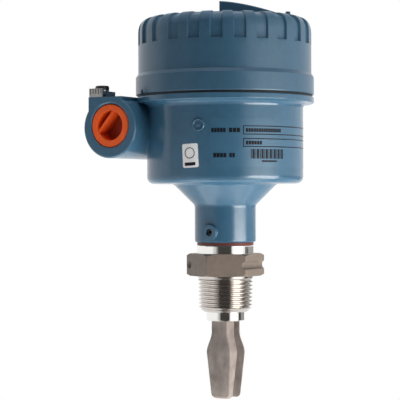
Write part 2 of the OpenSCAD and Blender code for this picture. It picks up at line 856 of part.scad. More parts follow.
module earth_lock_washer() {
  color([0.45, 0.45, 0.46]) translate([clamp_x, clamp_y, clamp_top]) difference() {
    ring(earth_d / 2 + screw_room, washer_r, washer_t);
    rotate([0, 0, washer_turn]) translate([0, -washer_split / 2, -over])
      cube([2 * washer_r, washer_split, washer_t + 2 * over]);
  }
}

module earth_screw() {
  color([0.25, 0.25, 0.27]) translate([clamp_x, clamp_y, clamp_top + washer_t])
    pan_screw(earth_d, earth_head_d, earth_head_h, clamp_h + washer_t + earth_depth - earth_tip);
}

// Potted cassette with a seat for the terminals, a hole for the dial and a recess for the sensor plug below
module electronics_cassette() {
  seat_len = block_len + 2 * fit;
  color([0.12, 0.13, 0.14]) difference() {
    translate([cassette_x, 0, seat_top]) rotate_extrude() polygon([
      [0, 0], [cassette_r - cassette_edge, 0], [cassette_r, cassette_edge],
      [cassette_r, cassette_h - cassette_edge], [cassette_r - cassette_edge, cassette_h], [0, cassette_h]
    ]);
    at_fixings(seat_top - over) cylinder(d = fixing_d + 2 * screw_room, h = cassette_h + 2 * over);
    at_fixings(cassette_top - well_depth) cylinder(d = fixing_head_d + 2 * well_room, h = well_depth + over);
    translate([cassette_x - cassette_r - over, -seat_len / 2, block_z])
      cube([block_x + block_w / 2 + fit - cassette_x + cassette_r + over, seat_len, block_seat + over]);
    translate([dial_x, dial_y, cassette_top - dial_h])
      cylinder(d = dial_d + 2 * dial_room, h = dial_h + over);
    translate([dial_x, dial_y, cassette_top - dial_h - dial_shaft_len - root])
      cylinder(d = dial_shaft_d + 2 * bore_room, h = dial_shaft_len + root + over);
    translate([dial_x, led_y, cassette_top - led_depth]) cylinder(d = led_d + 2 * fit, h = led_depth + over);
    translate([0, 0, seat_top - over]) cylinder(r = socket_recess_r, h = socket_recess_h + over);
  }
}

module cassette_screws() {
  color([0.75, 0.75, 0.74]) at_fixings(cassette_top - well_depth)
    pan_screw(fixing_d, fixing_head_d, fixing_head_h, cassette_h - well_depth + fixing_depth - fixing_tip);
}

// Places of the terminals along the block
function terminal_y(i) = (i - (terminal_n - 1) / 2) * terminal_pitch;
module at_terminals(x, z) {
  for (i = [0:terminal_n - 1])
    translate([block_x + x, terminal_y(i), z]) rotate([0, 0, terminal_turn * i]) children();
}

module terminal_block() {
  mouth_w = cage_w + 2 * fit;
  mouth_h = cage_h + 2 * fit;
  color([0.35, 0.42, 0.36]) difference() {
    translate([block_x - block_w / 2, -block_len / 2, block_z]) cube([block_w, block_len, block_h]);
    for (i = [0:terminal_n - 1])
      translate([block_x - block_w / 2 - over, terminal_y(i) - mouth_w / 2, cage_z - fit])
        cube([block_w - block_back + over, mouth_w, mouth_h]);
    at_terminals(terminal_shift, cage_z) cylinder(d = terminal_well_d, h = block_h + over);
    translate([block_x + block_w / 2 - block_step_w, -block_len / 2 - over, block_z + block_h - block_step_h])
      cube([block_step_w + over, block_len + 2 * over, block_step_h + over]);
  }
}

// Clamping cage behind each wire opening
module terminal_cages() {
  color([0.72, 0.62, 0.35]) difference() {
    for (i = [0:terminal_n - 1])
      translate([block_x - block_w / 2 + block_back, terminal_y(i) - cage_w / 2, cage_z]) difference() {
        cube([cage_len, cage_w, cage_h]);
        translate([-over, cage_wall, cage_wall])
          cube([cage_len + 2 * over, cage_w - 2 * cage_wall, cage_h - cage_wall - cage_top_t]);
      }
    at_terminals(terminal_shift, cage_z + cage_h / 2) cylinder(d = terminal_hole_d, h = cage_h);
  }
}

module terminal_screws() {
  color([0.75, 0.75, 0.74]) at_terminals(terminal_shift, cage_z + cage_h + screw_room)
    pan_screw(terminal_screw_d, terminal_head_d, terminal_head_h, terminal_screw_len);
}

// Dial of the mode switch with an arrow slot and a shaft below it
module mode_dial() {
  dial_r = dial_d / 2;
  dial_top = dial_h + dial_lift;
  color([0.85, 0.6, 0.1]) translate([dial_x, dial_y, cassette_top - dial_h + dial_lift]) difference() {
    union() {
      rotate_extrude() polygon([
        [0, 0], [dial_r, 0], [dial_r, dial_top - dial_edge], [dial_r - dial_edge, dial_top], [0, dial_top]
      ]);
      translate([0, 0, -dial_shaft_len]) cylinder(d = dial_shaft_d, h = dial_shaft_len + root);
    }
    translate([-dial_r + dial_slot_in, -dial_slot_w / 2, dial_top - dial_slot_depth])
      cube([dial_d - 2 * dial_slot_in, dial_slot_w, dial_slot_depth + over]);
    translate([dial_r - arrow_in, 0, dial_top - arrow_depth]) linear_extrude(arrow_depth + over)
      polygon([[arrow_len, 0], [0, arrow_half], [0, -arrow_half]]);
  }
}

module status_light() {
  dome_r = led_d / 2;
  color([0.6, 0.9, 0.6]) translate([dial_x, led_y, cassette_top - led_depth]) rotate_extrude()
    polygon(concat([[0, 0], [dome_r, 0]], arc(0, led_depth, dome_r, 0, 90, 8)));
}

module inner_earth_washer() {
  color([0.7, 0.65, 0.4]) at_inner_earth(inner_earth_z) ring(earth_d / 2 + screw_room, washer_r, washer_t);
}

module inner_earth_screw() {
  color([0.72, 0.62, 0.35]) at_inner_earth(inner_earth_z + washer_t)
    pan_screw(earth_d, inner_earth_head_d, inner_earth_head_h, inner_earth_depth + washer_t - earth_tip);
}

// Plug below the cassette on which the sensor leads end
module sensor_socket() {
  color([0.85, 0.84, 0.78]) translate([0, 0, socket_top - socket_h])
    cylinder(r = socket_recess_r - socket_room, h = socket_h);
}

// Places of the leads around the axis
module at_leads(z) {
  for (i = [0:lead_n - 1]) rotate([0, 0, 90 + 360 / lead_n * i]) translate([lead_orbit, 0, z]) children();
}

module sensor_leads() {
  color([0.75, 0.2, 0.2]) at_leads(stack_top)
    cylinder(r = lead_r, h = socket_top - socket_h - stack_top, $fn = 24);
}

// Insert in the top of the stem that holds the leads apart
module lead_guide() {
  color([0.82, 0.8, 0.74]) difference() {
    translate([0, 0, stem_top - guide_t]) cylinder(r = bore_r - bore_room, h = guide_t);
    at_leads(stem_top - guide_t - over) cylinder(r = lead_r + bore_room, h = guide_t + 2 * over, $fn = 24);
  }
}

module stack_stud() {
  color([0.6, 0.6, 0.62]) translate([0, 0, diaphragm_z - stud_sunk])
    cylinder(r = stud_r, h = stud_top - diaphragm_z + stud_sunk);
}

module stack_insulators() {
  color([0.93, 0.92, 0.88]) for (z = [diaphragm_z, stack_top])
    translate([0, 0, z]) ring(ring_in, ring_out, insulator_t);
}

module piezo_rings() {
  color([0.55, 0.5, 0.4]) for (i = [0:piezo_n - 1])
    translate([0, 0, stack_z + i * stack_step]) ring(ring_in, ring_out, piezo_t);
}

// Contact shims between the rings, each with a tail for a lead
module electrode_shims() {
  color([0.8, 0.65, 0.3]) for (i = [0:piezo_n - 2]) translate([0, 0, stack_z + piezo_t + i * stack_step]) {
    ring(ring_in, ring_out, shim_t);
    rotate([0, 0, 90 + 360 / lead_n * i]) translate([ring_out - root, -shim_tail_w / 2, 0])
      cube([shim_tail_len + root, shim_tail_w, shim_t]);
  }
}

module pressure_disc() {
  color([0.65, 0.65, 0.66]) translate([0, 0, stack_top + insulator_t]) ring(stud_r + fit, ring_out, disc_t);
}

module stack_nut() {
  color([0.7, 0.7, 0.7]) translate([0, 0, nut_z]) difference() {
    cylinder(d = nut_d, h = nut_h, $fn = 6);
    translate([0, 0, -over]) cylinder(r = stud_r + bore_room, h = nut_h + 2 * over);
  }
}

housing();
housing_cover();
cover_seal();
neck_gasket();
neck_o_ring();
neck_set_screw();
process_fitting();
fork();
transit_plug();
blanking_plug();
earth_clamp();
earth_lock_washer();
earth_screw();
electronics_cassette();
cassette_screws();
terminal_block();
terminal_cages();
terminal_screws();
mode_dial();
status_light();
inner_earth_washer();
inner_earth_screw();
sensor_socket();
sensor_leads();
lead_guide();
stack_stud();
stack_insulators();
piezo_rings();
electrode_shims();
pressure_disc();
stack_nut();
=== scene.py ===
import bpy
import bmesh
import numpy as np
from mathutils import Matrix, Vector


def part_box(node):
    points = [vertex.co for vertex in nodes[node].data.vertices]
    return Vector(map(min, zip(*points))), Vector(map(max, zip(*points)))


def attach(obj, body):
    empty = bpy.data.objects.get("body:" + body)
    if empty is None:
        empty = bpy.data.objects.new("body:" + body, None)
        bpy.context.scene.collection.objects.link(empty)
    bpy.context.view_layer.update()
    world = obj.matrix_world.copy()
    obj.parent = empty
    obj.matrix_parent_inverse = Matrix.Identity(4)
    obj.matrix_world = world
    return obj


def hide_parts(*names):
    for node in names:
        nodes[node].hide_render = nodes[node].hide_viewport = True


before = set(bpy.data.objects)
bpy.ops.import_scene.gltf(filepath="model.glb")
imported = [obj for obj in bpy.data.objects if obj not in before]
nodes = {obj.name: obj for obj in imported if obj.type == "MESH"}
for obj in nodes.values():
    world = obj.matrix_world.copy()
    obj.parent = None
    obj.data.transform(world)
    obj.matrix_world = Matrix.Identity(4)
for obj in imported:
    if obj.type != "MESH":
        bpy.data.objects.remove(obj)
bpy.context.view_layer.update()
mm = 0.001
rad = np.pi / 180

scene = bpy.context.scene
scene.view_settings.view_transform = "Standard"


def boxMm(node):  # corners of a CAD node in millimetres
    low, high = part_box(node)
    return np.array(low) / mm, np.array(high) / mm


def smoothStep(x, a, b):  # 0 before a, 1 after b, with soft ends
    t = np.clip((x - a) / (b - a), 0, 1)
    return t * t * (3 - 2 * t)


def blend(a, b, t):  # a at t = 0, b at t = 1, straight between
    return a + (b - a) * t


def fullTurn(count):  # even angles round a circle
    return np.linspace(0, 2 * np.pi, count, endpoint=False)


# mesh helpers

def gridFaces(rows, cols, wrapRows=False, wrapCols=False):
    # every cell of a rows by cols grid as one quad of vertex numbers
    i = np.arange(rows if wrapRows else rows - 1)[:, None]
    j = np.arange(cols if wrapCols else cols - 1)[None, :]
    i2, j2 = (i + 1) % rows, (j + 1) % cols
    quads = np.stack([i * cols + j, i * cols + j2, i2 * cols + j2, i2 * cols + j], axis=-1)
    return quads.reshape(-1, 4)


def joinGrids(parts):
    # several (points, quads, material number for each quad) lists as one
    verts, quads, mats, start = [], [], [], 0
    for points, faces, slot in parts:
        flat = points.reshape(-1, 3)
        verts.append(flat)
        quads.append(faces + start)
        mats.append(np.broadcast_to(slot, (len(faces),)))
        start += len(flat)
    return np.concatenate(verts), np.concatenate(quads), np.concatenate(mats)


def makePiece(name, parts, materials, body, sharpDeg=35, closed=True):
    # grids in millimetres become one object at the origin that rides a body
    verts, quads, mats = joinGrids(parts)
    mesh = bpy.data.meshes.new(name)
    mesh.vertices.add(len(verts))
    mesh.vertices.foreach_set("co", (verts * mm).ravel())
    mesh.loops.add(quads.size)
    mesh.loops.foreach_set("vertex_index", quads.ravel())
    mesh.polygons.add(len(quads))
    mesh.polygons.foreach_set("loop_start", np.arange(len(quads)) * 4)
    mesh.polygons.foreach_set("material_index", mats.astype(np.int32))
    mesh.update(calc_edges=True)
    for material in materials:
        mesh.materials.append(material)
    bm = bmesh.new()
    bm.from_mesh(mesh)
    bmesh.ops.remove_doubles(bm, verts=bm.verts, dist=1e-7)  # seams and poles
    if closed:
        bmesh.ops.recalc_face_normals(bm, faces=bm.faces)
    bm.to_mesh(mesh)
    bm.free()
    mesh.polygons.foreach_set("use_smooth", np.ones(len(mesh.polygons), bool))
    mesh.set_sharp_from_angle(angle=sharpDeg * rad)
    piece = bpy.data.objects.new(name, mesh)
    scene.collection.objects.link(piece)
    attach(piece, body)
    return piece


def roundedPath(corners, steps=6, hold=0.15, holdShare=0.04, curveShare=0.45):
    # polyline of (x, y, radius) corners, each swapped for a curve between its two tangent points,
    # with a further point just outside the curve at both ends that keeps the straight runs flat
    pts = np.array([c[:2] for c in corners], float)
    out = [pts[0]]
    t = np.linspace(0, 1, steps)[:, None]
    for before, here, after, corner in zip(pts[:-2], pts[1:-1], pts[2:], corners[1:-1]):
        goIn, goOut = before - here, after - here
        lenIn, lenOut = np.linalg.norm(goIn), np.linalg.norm(goOut)
        turn = np.arccos(np.clip(goIn @ goOut / (lenIn * lenOut), -1, 1))
        reach = min(corner[2] / np.tan(turn / 2), curveShare * lenIn, curveShare * lenOut)
        a, b = here + goIn / lenIn * reach, here + goOut / lenOut * reach
        curve = (1 - t) ** 2 * a + 2 * t * (1 - t) * here + t ** 2 * b
        if reach > 0:
            before = a + goIn / lenIn * min(hold, holdShare * lenIn)
            after = b + goOut / lenOut * min(hold, holdShare * lenOut)
            curve = np.vstack([before, curve, after])
        out.append(curve)
    out.append(pts[-1])
    return np.vstack(out)


def refine(path, longest):
    # a polyline with no stretch longer than a given length
    step = np.linalg.norm(np.diff(path, axis=0), axis=1)
    count = np.maximum(1, np.ceil(step / longest).astype(int))
    where = np.repeat(np.arange(len(step)), count)
    part = np.concatenate([np.arange(n) / n for n in count])[:, None]
    return np.vstack([path[where] * (1 - part) + path[where + 1] * part, path[-1:]])


def turned(profile, columns, x0=0.0, y0=0.0, z0=0.0):
    # (radius, height) profile carried round an upright axis: x = r * cos a, y = r * sin a
    a = fullTurn(columns)
    x = x0 + profile[:, :1] * np.cos(a)
    y = y0 + profile[:, :1] * np.sin(a)
    points = np.stack([x, y, z0 + np.broadcast_to(profile[:, 1:], x.shape)], -1)
    return points, gridFaces(*x.shape, wrapCols=True), 0


# material helpers

def newMaterial(name, base, roughness, metallic=0.0):
    material = bpy.data.materials.new(name)
    material.use_nodes = True
    shader = material.node_tree.nodes["Principled BSDF"]
    shader.inputs["Base Color"].default_value = (*base, 1)
    shader.inputs["Roughness"].default_value = roughness
    shader.inputs["Metallic"].default_value = metallic
    return material, material.node_tree, shader


def addNoise(tree, scale, detail, stretch):
    # noise on object coordinates, stretched along an axis where asked
    coords = tree.nodes.new("ShaderNodeTexCoord")
    mapping = tree.nodes.new("ShaderNodeMapping")
    mapping.inputs["Scale"].default_value = stretch
    noise = tree.nodes.new("ShaderNodeTexNoise")
    noise.inputs["Scale"].default_value = scale
    noise.inputs["Detail"].default_value = detail
    tree.links.new(coords.outputs["Object"], mapping.inputs["Vector"])
    tree.links.new(mapping.outputs["Vector"], noise.inputs["Vector"])
    return noise.outputs["Fac"]


def addRamp(tree, fac, low, high, lowAt=0.3, highAt=0.7):
    ramp = tree.nodes.new("ShaderNodeValToRGB")
    ramp.color_ramp.elements[0].position = lowAt
    ramp.color_ramp.elements[1].position = highAt
    ramp.color_ramp.elements[0].color = (*low, 1)
    ramp.color_ramp.elements[1].color = (*high, 1)
    tree.links.new(fac, ramp.inputs["Fac"])
    return ramp.outputs["Color"]


def addRange(tree, fac, low, high, start=0.0, end=1.0):
    # low where fac is at start, high where it is at end
    remap = tree.nodes.new("ShaderNodeMapRange")
    remap.inputs["From Min"].default_value = start
    remap.inputs["From Max"].default_value = end
    remap.inputs["To Min"].default_value = low
    remap.inputs["To Max"].default_value = high
    tree.links.new(fac, remap.inputs["Value"])
    return remap.outputs["Result"]


def addMath(tree, operation, a, b):
    node = tree.nodes.new("ShaderNodeMath")
    node.operation = operation
    tree.links.new(a, node.inputs[0])
    tree.links.new(b, node.inputs[1])
    return node.outputs["Value"]


def addBump(tree, shader, fac, depth, edgeRadius):
    # relief with its depth in metres, over edges softened by a small radius where asked
    bump = tree.nodes.new("ShaderNodeBump")
    bump.inputs["Distance"].default_value = depth
    bump.inputs["Strength"].default_value = 1.0
    tree.links.new(fac, bump.inputs["Height"])
    if edgeRadius:
        edge = tree.nodes.new("ShaderNodeBevel")
        edge.samples = 6
        edge.inputs["Radius"].default_value = edgeRadius
        tree.links.new(edge.outputs["Normal"], bump.inputs["Normal"])
    tree.links.new(bump.outputs["Normal"], shader.inputs["Normal"])


def shade(c, k):  # a colour made darker or paler by a factor
    return tuple(x * k for x in c)


def mottled(name, base, roughness, metallic, spread, scale, relief, edgeRadius,
            stretch=(1, 1, 1), roughSpread=0.06):
    # a finish whose colour and roughness wander a little, with a fine relief
    material, tree, shader = newMaterial(name, base, roughness, metallic)
    wander = addNoise(tree, scale * 0.25, 2, stretch)
    colour = addRamp(tree, wander, shade(base, 1 - spread), shade(base, 1 + spread))
    tree.links.new(colour, shader.inputs["Base Color"])
    fine = addNoise(tree, scale, 4, stretch)
    rough = addRange(tree, fine, max(0.02, roughness - roughSpread), roughness + roughSpread)
    tree.links.new(rough, shader.inputs["Roughness"])
    addBump(tree, shader, fine, relief, edgeRadius)
    return material


def paintedCupShade(material, centre, cup):
    # painted shade: the moulded orange is darkened inside the plug's cup, by distance from its axis and depth
    # behind its face, in place of the shade that falls there
    tree = material.node_tree
    colour = tree.nodes["Principled BSDF"].inputs["Base Color"]
    moulded = colour.links[0].from_socket
    coords = tree.nodes.new("ShaderNodeTexCoord")
    place = tree.nodes.new("ShaderNodeMapping")
    place.inputs["Location"].default_value = [-x for x in centre]
    flat = tree.nodes.new("ShaderNodeVectorMath")
    flat.operation = "MULTIPLY"
    flat.inputs[1].default_value = (1, 0, 1)
    away = tree.nodes.new("ShaderNodeVectorMath")
    away.operation = "LENGTH"
    split = tree.nodes.new("ShaderNodeSeparateXYZ")
    tree.links.new(coords.outputs["Object"], place.inputs["Vector"])
    tree.links.new(place.outputs["Vector"], flat.inputs[0])
    tree.links.new(flat.outputs["Vector"], away.inputs[0])
    tree.links.new(place.outputs["Vector"], split.inputs["Vector"])
    wall, blur = cup["radius"], cup["blur"]
    inside = addRange(tree, away.outputs["Value"], 0, 1, wall + blur, wall - blur)
    deep = addRange(tree, split.outputs["Y"], 0, cup["most"], cup["start"], cup["depth"])
    mix = tree.nodes.new("ShaderNodeMixRGB")
    mix.inputs["Color2"].default_value = (*cup["dark"], 1)
    tree.links.new(addMath(tree, "MULTIPLY", inside, deep), mix.inputs["Fac"])
    tree.links.new(moulded, mix.inputs["Color1"])
    tree.links.new(mix.outputs["Color"], colour)


# finishes

paintColour = (0.046, 0.13, 0.215)
finishes = {
    # colour, roughness, metallic, spread of the colour, scale of the noise, relief and edge radius in metres,
    # then for some the stretch of the noise and the spread of the roughness
    "bluePaint": (paintColour, 0.2, 0, 0.05, 900, 0.000012, 0.0008),
    # painted shade: the cover takes the body's blue paint at 0.8 of its colour, so that it renders darker
    # than the body
    "bluePaintCoverShaded": (shade(paintColour, 0.8), 0.3, 0, 0.05, 900, 0.000012, 0),
    "labelFilm": (shade(paintColour, 1.05), 0.24, 0, 0.02, 900, 0.000004, 0),
    "printInk": ((0.008, 0.011, 0.016), 0.4, 0, 0.1, 1500, 0.000004, 0),
    "stickerPaper": ((0.93, 0.935, 0.95), 0.5, 0, 0.03, 1500, 0.00001, 0),
    "polishedSteel": ((0.88, 0.865, 0.84), 0.11, 1, 0.03, 700, 0.000003, 0, (1, 1, 30), 0.03),
    "threadSteel": ((0.70, 0.66, 0.63), 0.17, 1, 0.05, 900, 0.000002, 0, (1, 1, 6), 0.05),
    "hexSteel": ((0.244, 0.198, 0.166), 0.42, 0.16, 0.08, 1100, 0.00002, 0, (1, 1, 1), 0.07),
    "forkSteel": ((0.334, 0.287, 0.264), 0.5, 0, 0.26, 800, 0.00004, 0, (1, 1, 0.6), 0.08),
    "platedSteel": ((0.5, 0.5, 0.49), 0.3, 1, 0.06, 1500, 0.00001, 0.0002),
    "darkSteel": ((0.07, 0.07, 0.075), 0.38, 1, 0.1, 1500, 0.00001, 0.0002),
    "brassTrim": ((0.62, 0.45, 0.18), 0.28, 1, 0.07, 1500, 0.00001, 0.0001),
    "blackRubber": ((0.012, 0.012, 0.013), 0.6, 0, 0.2, 1200, 0.00002, 0.0002),
    "redGasket": ((0.17, 0.035, 0.02), 0.55, 0, 0.2, 1500, 0.00004, 0.0002),
    "orangePlastic": ((0.95, 0.125, 0.015), 0.45, 0, 0.06, 600, 0.00002, 0.0005),
    "blackPlastic": ((0.022, 0.024, 0.027), 0.45, 0, 0.15, 1500, 0.00003, 0.0004),
    "greenPlastic": ((0.09, 0.17, 0.11), 0.42, 0, 0.1, 1500, 0.00002, 0.0003),
    "amberPlastic": ((0.72, 0.34, 0.03), 0.3, 0, 0.06, 1500, 0.00001, 0.0003),
    "creamPlastic": ((0.7, 0.65, 0.53), 0.45, 0, 0.06, 1500, 0.00002, 0.0003),
    "lampLens": ((0.3, 0.72, 0.32), 0.15, 0, 0.05, 800, 0.000005, 0),
    "leadSleeve": ((0.42, 0.035, 0.03), 0.4, 0, 0.08, 1500, 0.00001, 0),
    "whiteCeramic": ((0.82, 0.81, 0.77), 0.4, 0, 0.03, 1500, 0.00001, 0.0001),
    "piezoCeramic": ((0.27, 0.22, 0.15), 0.5, 0, 0.08, 1500, 0.00002, 0.0001),
}
surface = {name: mottled(name, *row) for name, row in finishes.items()}

furtherSockets = {
    "hexSteel": {"Specular IOR Level": 0.35},
    "forkSteel": {"Specular IOR Level": 0.15},
    "printInk": {"Specular IOR Level": 0.2},
    "orangePlastic": {"Subsurface Weight": 0.1, "Subsurface Radius": (0.003, 0.0008, 0.0002)},
    "lampLens": {"Transmission Weight": 0.4},
}
for name, sockets in furtherSockets.items():
    for socket, value in sockets.items():
        surface[name].node_tree.nodes["Principled BSDF"].inputs[socket].default_value = value

# painted shade for the inside of the plug's cup: a dark colour mixed into the orange towards the cup's floor
plugCupShade = {  # in metres, depths behind the plug's face
    "radius": 0.009, "blur": 0.0003, "start": 0.0045, "depth": 0.0145, "most": 0.92,
    "dark": (0.09, 0.006, 0.002),
}
plugLow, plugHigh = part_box("transit_plug")
plugFace = ((plugLow[0] + plugHigh[0]) / 2, plugLow[1], (plugLow[2] + plugHigh[2]) / 2)
paintedCupShade(surface["orangePlastic"], plugFace, plugCupShade)

cadFinish = {
    "housing": "bluePaint", "cover_seal": "blackRubber", "neck_gasket": "redGasket",
    "neck_o_ring": "blackRubber", "neck_set_screw": "darkSteel", "transit_plug": "orangePlastic",
    "blanking_plug": "platedSteel", "earth_clamp": "platedSteel", "earth_lock_washer": "platedSteel",
    "earth_screw": "darkSteel", "electronics_cassette": "blackPlastic", "cassette_screws": "platedSteel",
    "terminal_block": "greenPlastic", "terminal_cages": "brassTrim", "terminal_screws": "platedSteel",
    "mode_dial": "amberPlastic", "status_light": "lampLens", "inner_earth_washer": "brassTrim",
    "inner_earth_screw": "brassTrim", "sensor_socket": "creamPlastic", "sensor_leads": "leadSleeve",
    "lead_guide": "creamPlastic", "stack_stud": "platedSteel", "stack_insulators": "whiteCeramic",
    "piezo_rings": "piezoCeramic", "electrode_shims": "brassTrim", "pressure_disc": "platedSteel",
    "stack_nut": "platedSteel",
}
for node, finish in cadFinish.items():
    nodes[node].data.materials.clear()
    nodes[node].data.materials.append(surface[finish])
print("materials on", len(cadFinish), "CAD nodes")

# screw cover

cover = {  # millimetres and degrees
    "skirtHeight": 10.7, "shoulderHeight": 2.1, "radius": 52.1, "height": 46.4, "edge": 9.0,
    "roof": 6.0, "roofRound": 4.0, "boreRadius": 47.6, "boreHeight": 15.5, "chamberRadius": 46.1,
    "chamberSlope": 1.5, "rowStep": 4.0,
    "notches": 24, "notchCentre": 8.7, "notchHalf": 3.75, "notchWall": 0.35, "notchDepth": 1.4,
    "notchHeight": 16.3, "notchFoot": 0.35, "notchReach": 11.0, "notchFade": 5.0,
    "notchRows": [-0.6, -0.25, 0.0, 0.25, 0.6],  # heights about the foot of the notches
    "lugHeight": 7.2, "lugLength": 34.5, "lugThick": 4.4, "lugRound": 0.8, "lugSunk": 0.6, "lugFall": 1.6,
    "lugFromAxis": 27.0, "lugStart": -3.5, "lugTurn": 30.0,
    "pipAt": (37.0, -21.0), "pipRadius": 1.5, "pipHeight": 1.8, "pipRound": 0.6, "pipSunk": 0.4,
    "lockTurn": 233.5, "lockWide": 2.4, "lockDepth": 1.2,
}


def coverColumns(c, skirt):
    # angles round the cover, close together at the walls of each notch and of the lock notch
    half, wall = c["notchHalf"], c["notchWall"]
    edge = half + wall * np.array([-2.2, -1.0, -0.5, 0.0, 0.5, 1.0, 2.2])
    period = 360 / c["notches"]
    between = 0.5 * (period / 2 + half)
    one = np.concatenate([[-period / 2, -between], -edge[::-1], [-half / 2, 0, half / 2], edge, [between]])
    turn = (c["notchCentre"] + period * np.arange(c["notches"])[:, None] + one[None, :]).ravel() % 360
    lock = c["lockWide"] / 2 / skirt / rad * np.array([0.8, 0.95, 1.1, 1.25])
    return np.unique(np.round(np.concatenate([turn, c["lockTurn"] + lock, c["lockTurn"] - lock]), 4))


def coverOutside(c, base, skirt):
    # outer line from the rim up to the middle of the roof, with close rows where the notches start
    top = base + c["height"]
    skirtTop = base + c["skirtHeight"]
    line = roundedPath([
        (c["boreRadius"], base, 0), (skirt, base, 0.7), (skirt, base + 0.9 * c["lockWide"], 0),
        (skirt, base + 1.1 * c["lockWide"], 0), (skirt, skirtTop, 0.6),
        (c["radius"], skirtTop + c["shoulderHeight"], 0.8), (c["radius"], top, c["edge"]), (0, top, 0),
    ], 9)
    line = refine(line, c["rowStep"])
    foot = top - c["notchHeight"]
    close = foot + np.array(c["notchRows"])
    lower = line[:np.flatnonzero(line[:, 1] >= foot - 2 * c["notchFoot"])[0]]
    upper = line[np.flatnonzero(line[:, 1] > foot + 2 * c["notchFoot"])[0]:]
    return np.vstack([lower, np.stack([np.full(len(close), c["radius"]), close], 1), upper])


def coverInside(c, base):
    # inner line from the middle of the ceiling down to the rim
    ceiling = base + c["height"] - c["roof"]
    boreTop = base + c["boreHeight"]
    return roundedPath([
        (0, ceiling, 0), (c["chamberRadius"], ceiling, c["roofRound"]),
        (c["chamberRadius"], boreTop + c["chamberSlope"], 0.3), (c["boreRadius"], boreTop, 0.3),
        (c["boreRadius"], base, 0),
    ], 7)


def coverShell(c):
    # outer and inner line turned round the axis, the outer one pushed in along its normal inside the notches
    low, high = boxMm("housing_cover")
    base, skirt = low[2], (high[0] - low[0]) / 2
    outside, inside = coverOutside(c, base, skirt), coverInside(c, base)
    turn = coverColumns(c, skirt)
    slope = np.gradient(outside, axis=0)
    slope /= np.linalg.norm(slope, axis=1)[:, None]
    inward = np.stack([-slope[:, 1], slope[:, 0]], 1)
    foot = base + c["height"] - c["notchHeight"]
    reach = c["radius"] - c["notchReach"]
    along = smoothStep(outside[:, 1], foot - c["notchFoot"], foot + c["notchFoot"])
    along = along * smoothStep(outside[:, 0], reach, reach + c["notchFade"])
    halfPeriod = 180 / c["notches"]
    fromCentre = np.abs((turn - c["notchCentre"] + halfPeriod) % (2 * halfPeriod) - halfPeriod)
    across = 1 - smoothStep(fromCentre, c["notchHalf"] - c["notchWall"], c["notchHalf"] + c["notchWall"])
    push = c["notchDepth"] * along[:, None] * across[None, :]
    offLock = np.abs(turn - c["lockTurn"]) * rad * skirt / (c["lockWide"] / 2)
    lockRows = (outside[:, 1] < base + c["lockWide"]) & (outside[:, 0] > c["boreRadius"] + 1)
    lock = c["lockDepth"] * lockRows[:, None] * (1 - smoothStep(offLock, 0.9, 1.15))[None, :]
    rOut = outside[:, :1] + inward[:, :1] * push - lock
    zOut = outside[:, 1:] + inward[:, 1:] * push
    rIn = np.broadcast_to(inside[1:-1, :1], (len(inside) - 2, len(turn)))
    zIn = np.broadcast_to(inside[1:-1, 1:], rIn.shape)
    roofCentre = np.zeros((1, len(turn)))
    r = np.vstack([rOut, roofCentre, rIn])
    z = np.vstack([zOut, roofCentre + inside[0, 1], zIn])
    points = np.stack([r * np.cos(turn * rad), r * np.sin(turn * rad), z], -1)
    faces = gridFaces(len(r), len(turn), wrapRows=True, wrapCols=True)
    roofRow = len(rOut) - 1  # the gap between the two poles has no face
    keep = (np.arange(len(faces)) // len(turn)) != roofRow
    return points, faces[keep], 0


def coverLug(c, turn):
    # rounded section of falling height carried along a straight line: height = tall * (1 - t ** fall)
    low, _ = boxMm("housing_cover")
    foot = low[2] + c["height"] - c["lugSunk"]
    t = np.concatenate([[0, 0, 0.006, 0.02], np.linspace(0.05, 1, 22)])
    grow = np.array([0, 0.86, 0.97, 1] + [1] * 22)  # a closed, softened start
    tall = c["lugSunk"] + c["lugHeight"] * (1 - t ** c["lugFall"])
    soft = np.minimum(c["lugRound"], tall * 0.45)
    a = np.linspace(0, np.pi / 2, 5)
    half = c["lugThick"] / 2
    inset = c["lugRound"] * (1 - np.cos(a))
    y = np.concatenate([[-half], -half + inset, half - inset[::-1], [half]])
    lift = np.concatenate([[0], np.sin(a), np.sin(a[::-1]), [0]])
    z = tall[:, None] - soft[:, None] * (1 - lift[None, :])
    z[:, 0] = z[:, -1] = 0
    x = np.broadcast_to((c["lugStart"] + c["lugLength"] * t)[:, None], z.shape)
    yy = np.broadcast_to(y[None, :], z.shape) * grow[:, None] - c["lugFromAxis"]
    zz = foot + z * (grow > 0)[:, None]
    cos, sin = np.cos(turn * rad), np.sin(turn * rad)
    points = np.stack([x * cos - yy * sin, x * sin + yy * cos, zz], -1)
    return points, gridFaces(*z.shape, wrapCols=True), 0


def coverPip(c):
    # small stud on the roof: an upright line and a rounded top edge turned round its own axis
    low, _ = boxMm("housing_cover")
    foot = low[2] + c["height"] - c["pipSunk"]
    tall = c["pipHeight"] + c["pipSunk"]
    profile = roundedPath([(c["pipRadius"], 0, 0), (c["pipRadius"], tall, c["pipRound"]), (0, tall, 0)], 6)
    cos, sin = np.cos(c["lugTurn"] * rad), np.sin(c["lugTurn"] * rad)
    px, py = c["pipAt"]
    return turned(profile, 32, px * cos - py * sin, px * sin + py * cos, foot)


coverLugs = [coverLug(cover, cover["lugTurn"] + half) for half in (0, 180)]
coverParts = [coverShell(cover), *coverLugs, coverPip(cover)]
coverPiece = makePiece("screwCover", coverParts, [surface["bluePaintCoverShaded"]], "cover", 40)
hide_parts("housing_cover")
print("cover faces", len(coverPiece.data.polygons))

# process fitting

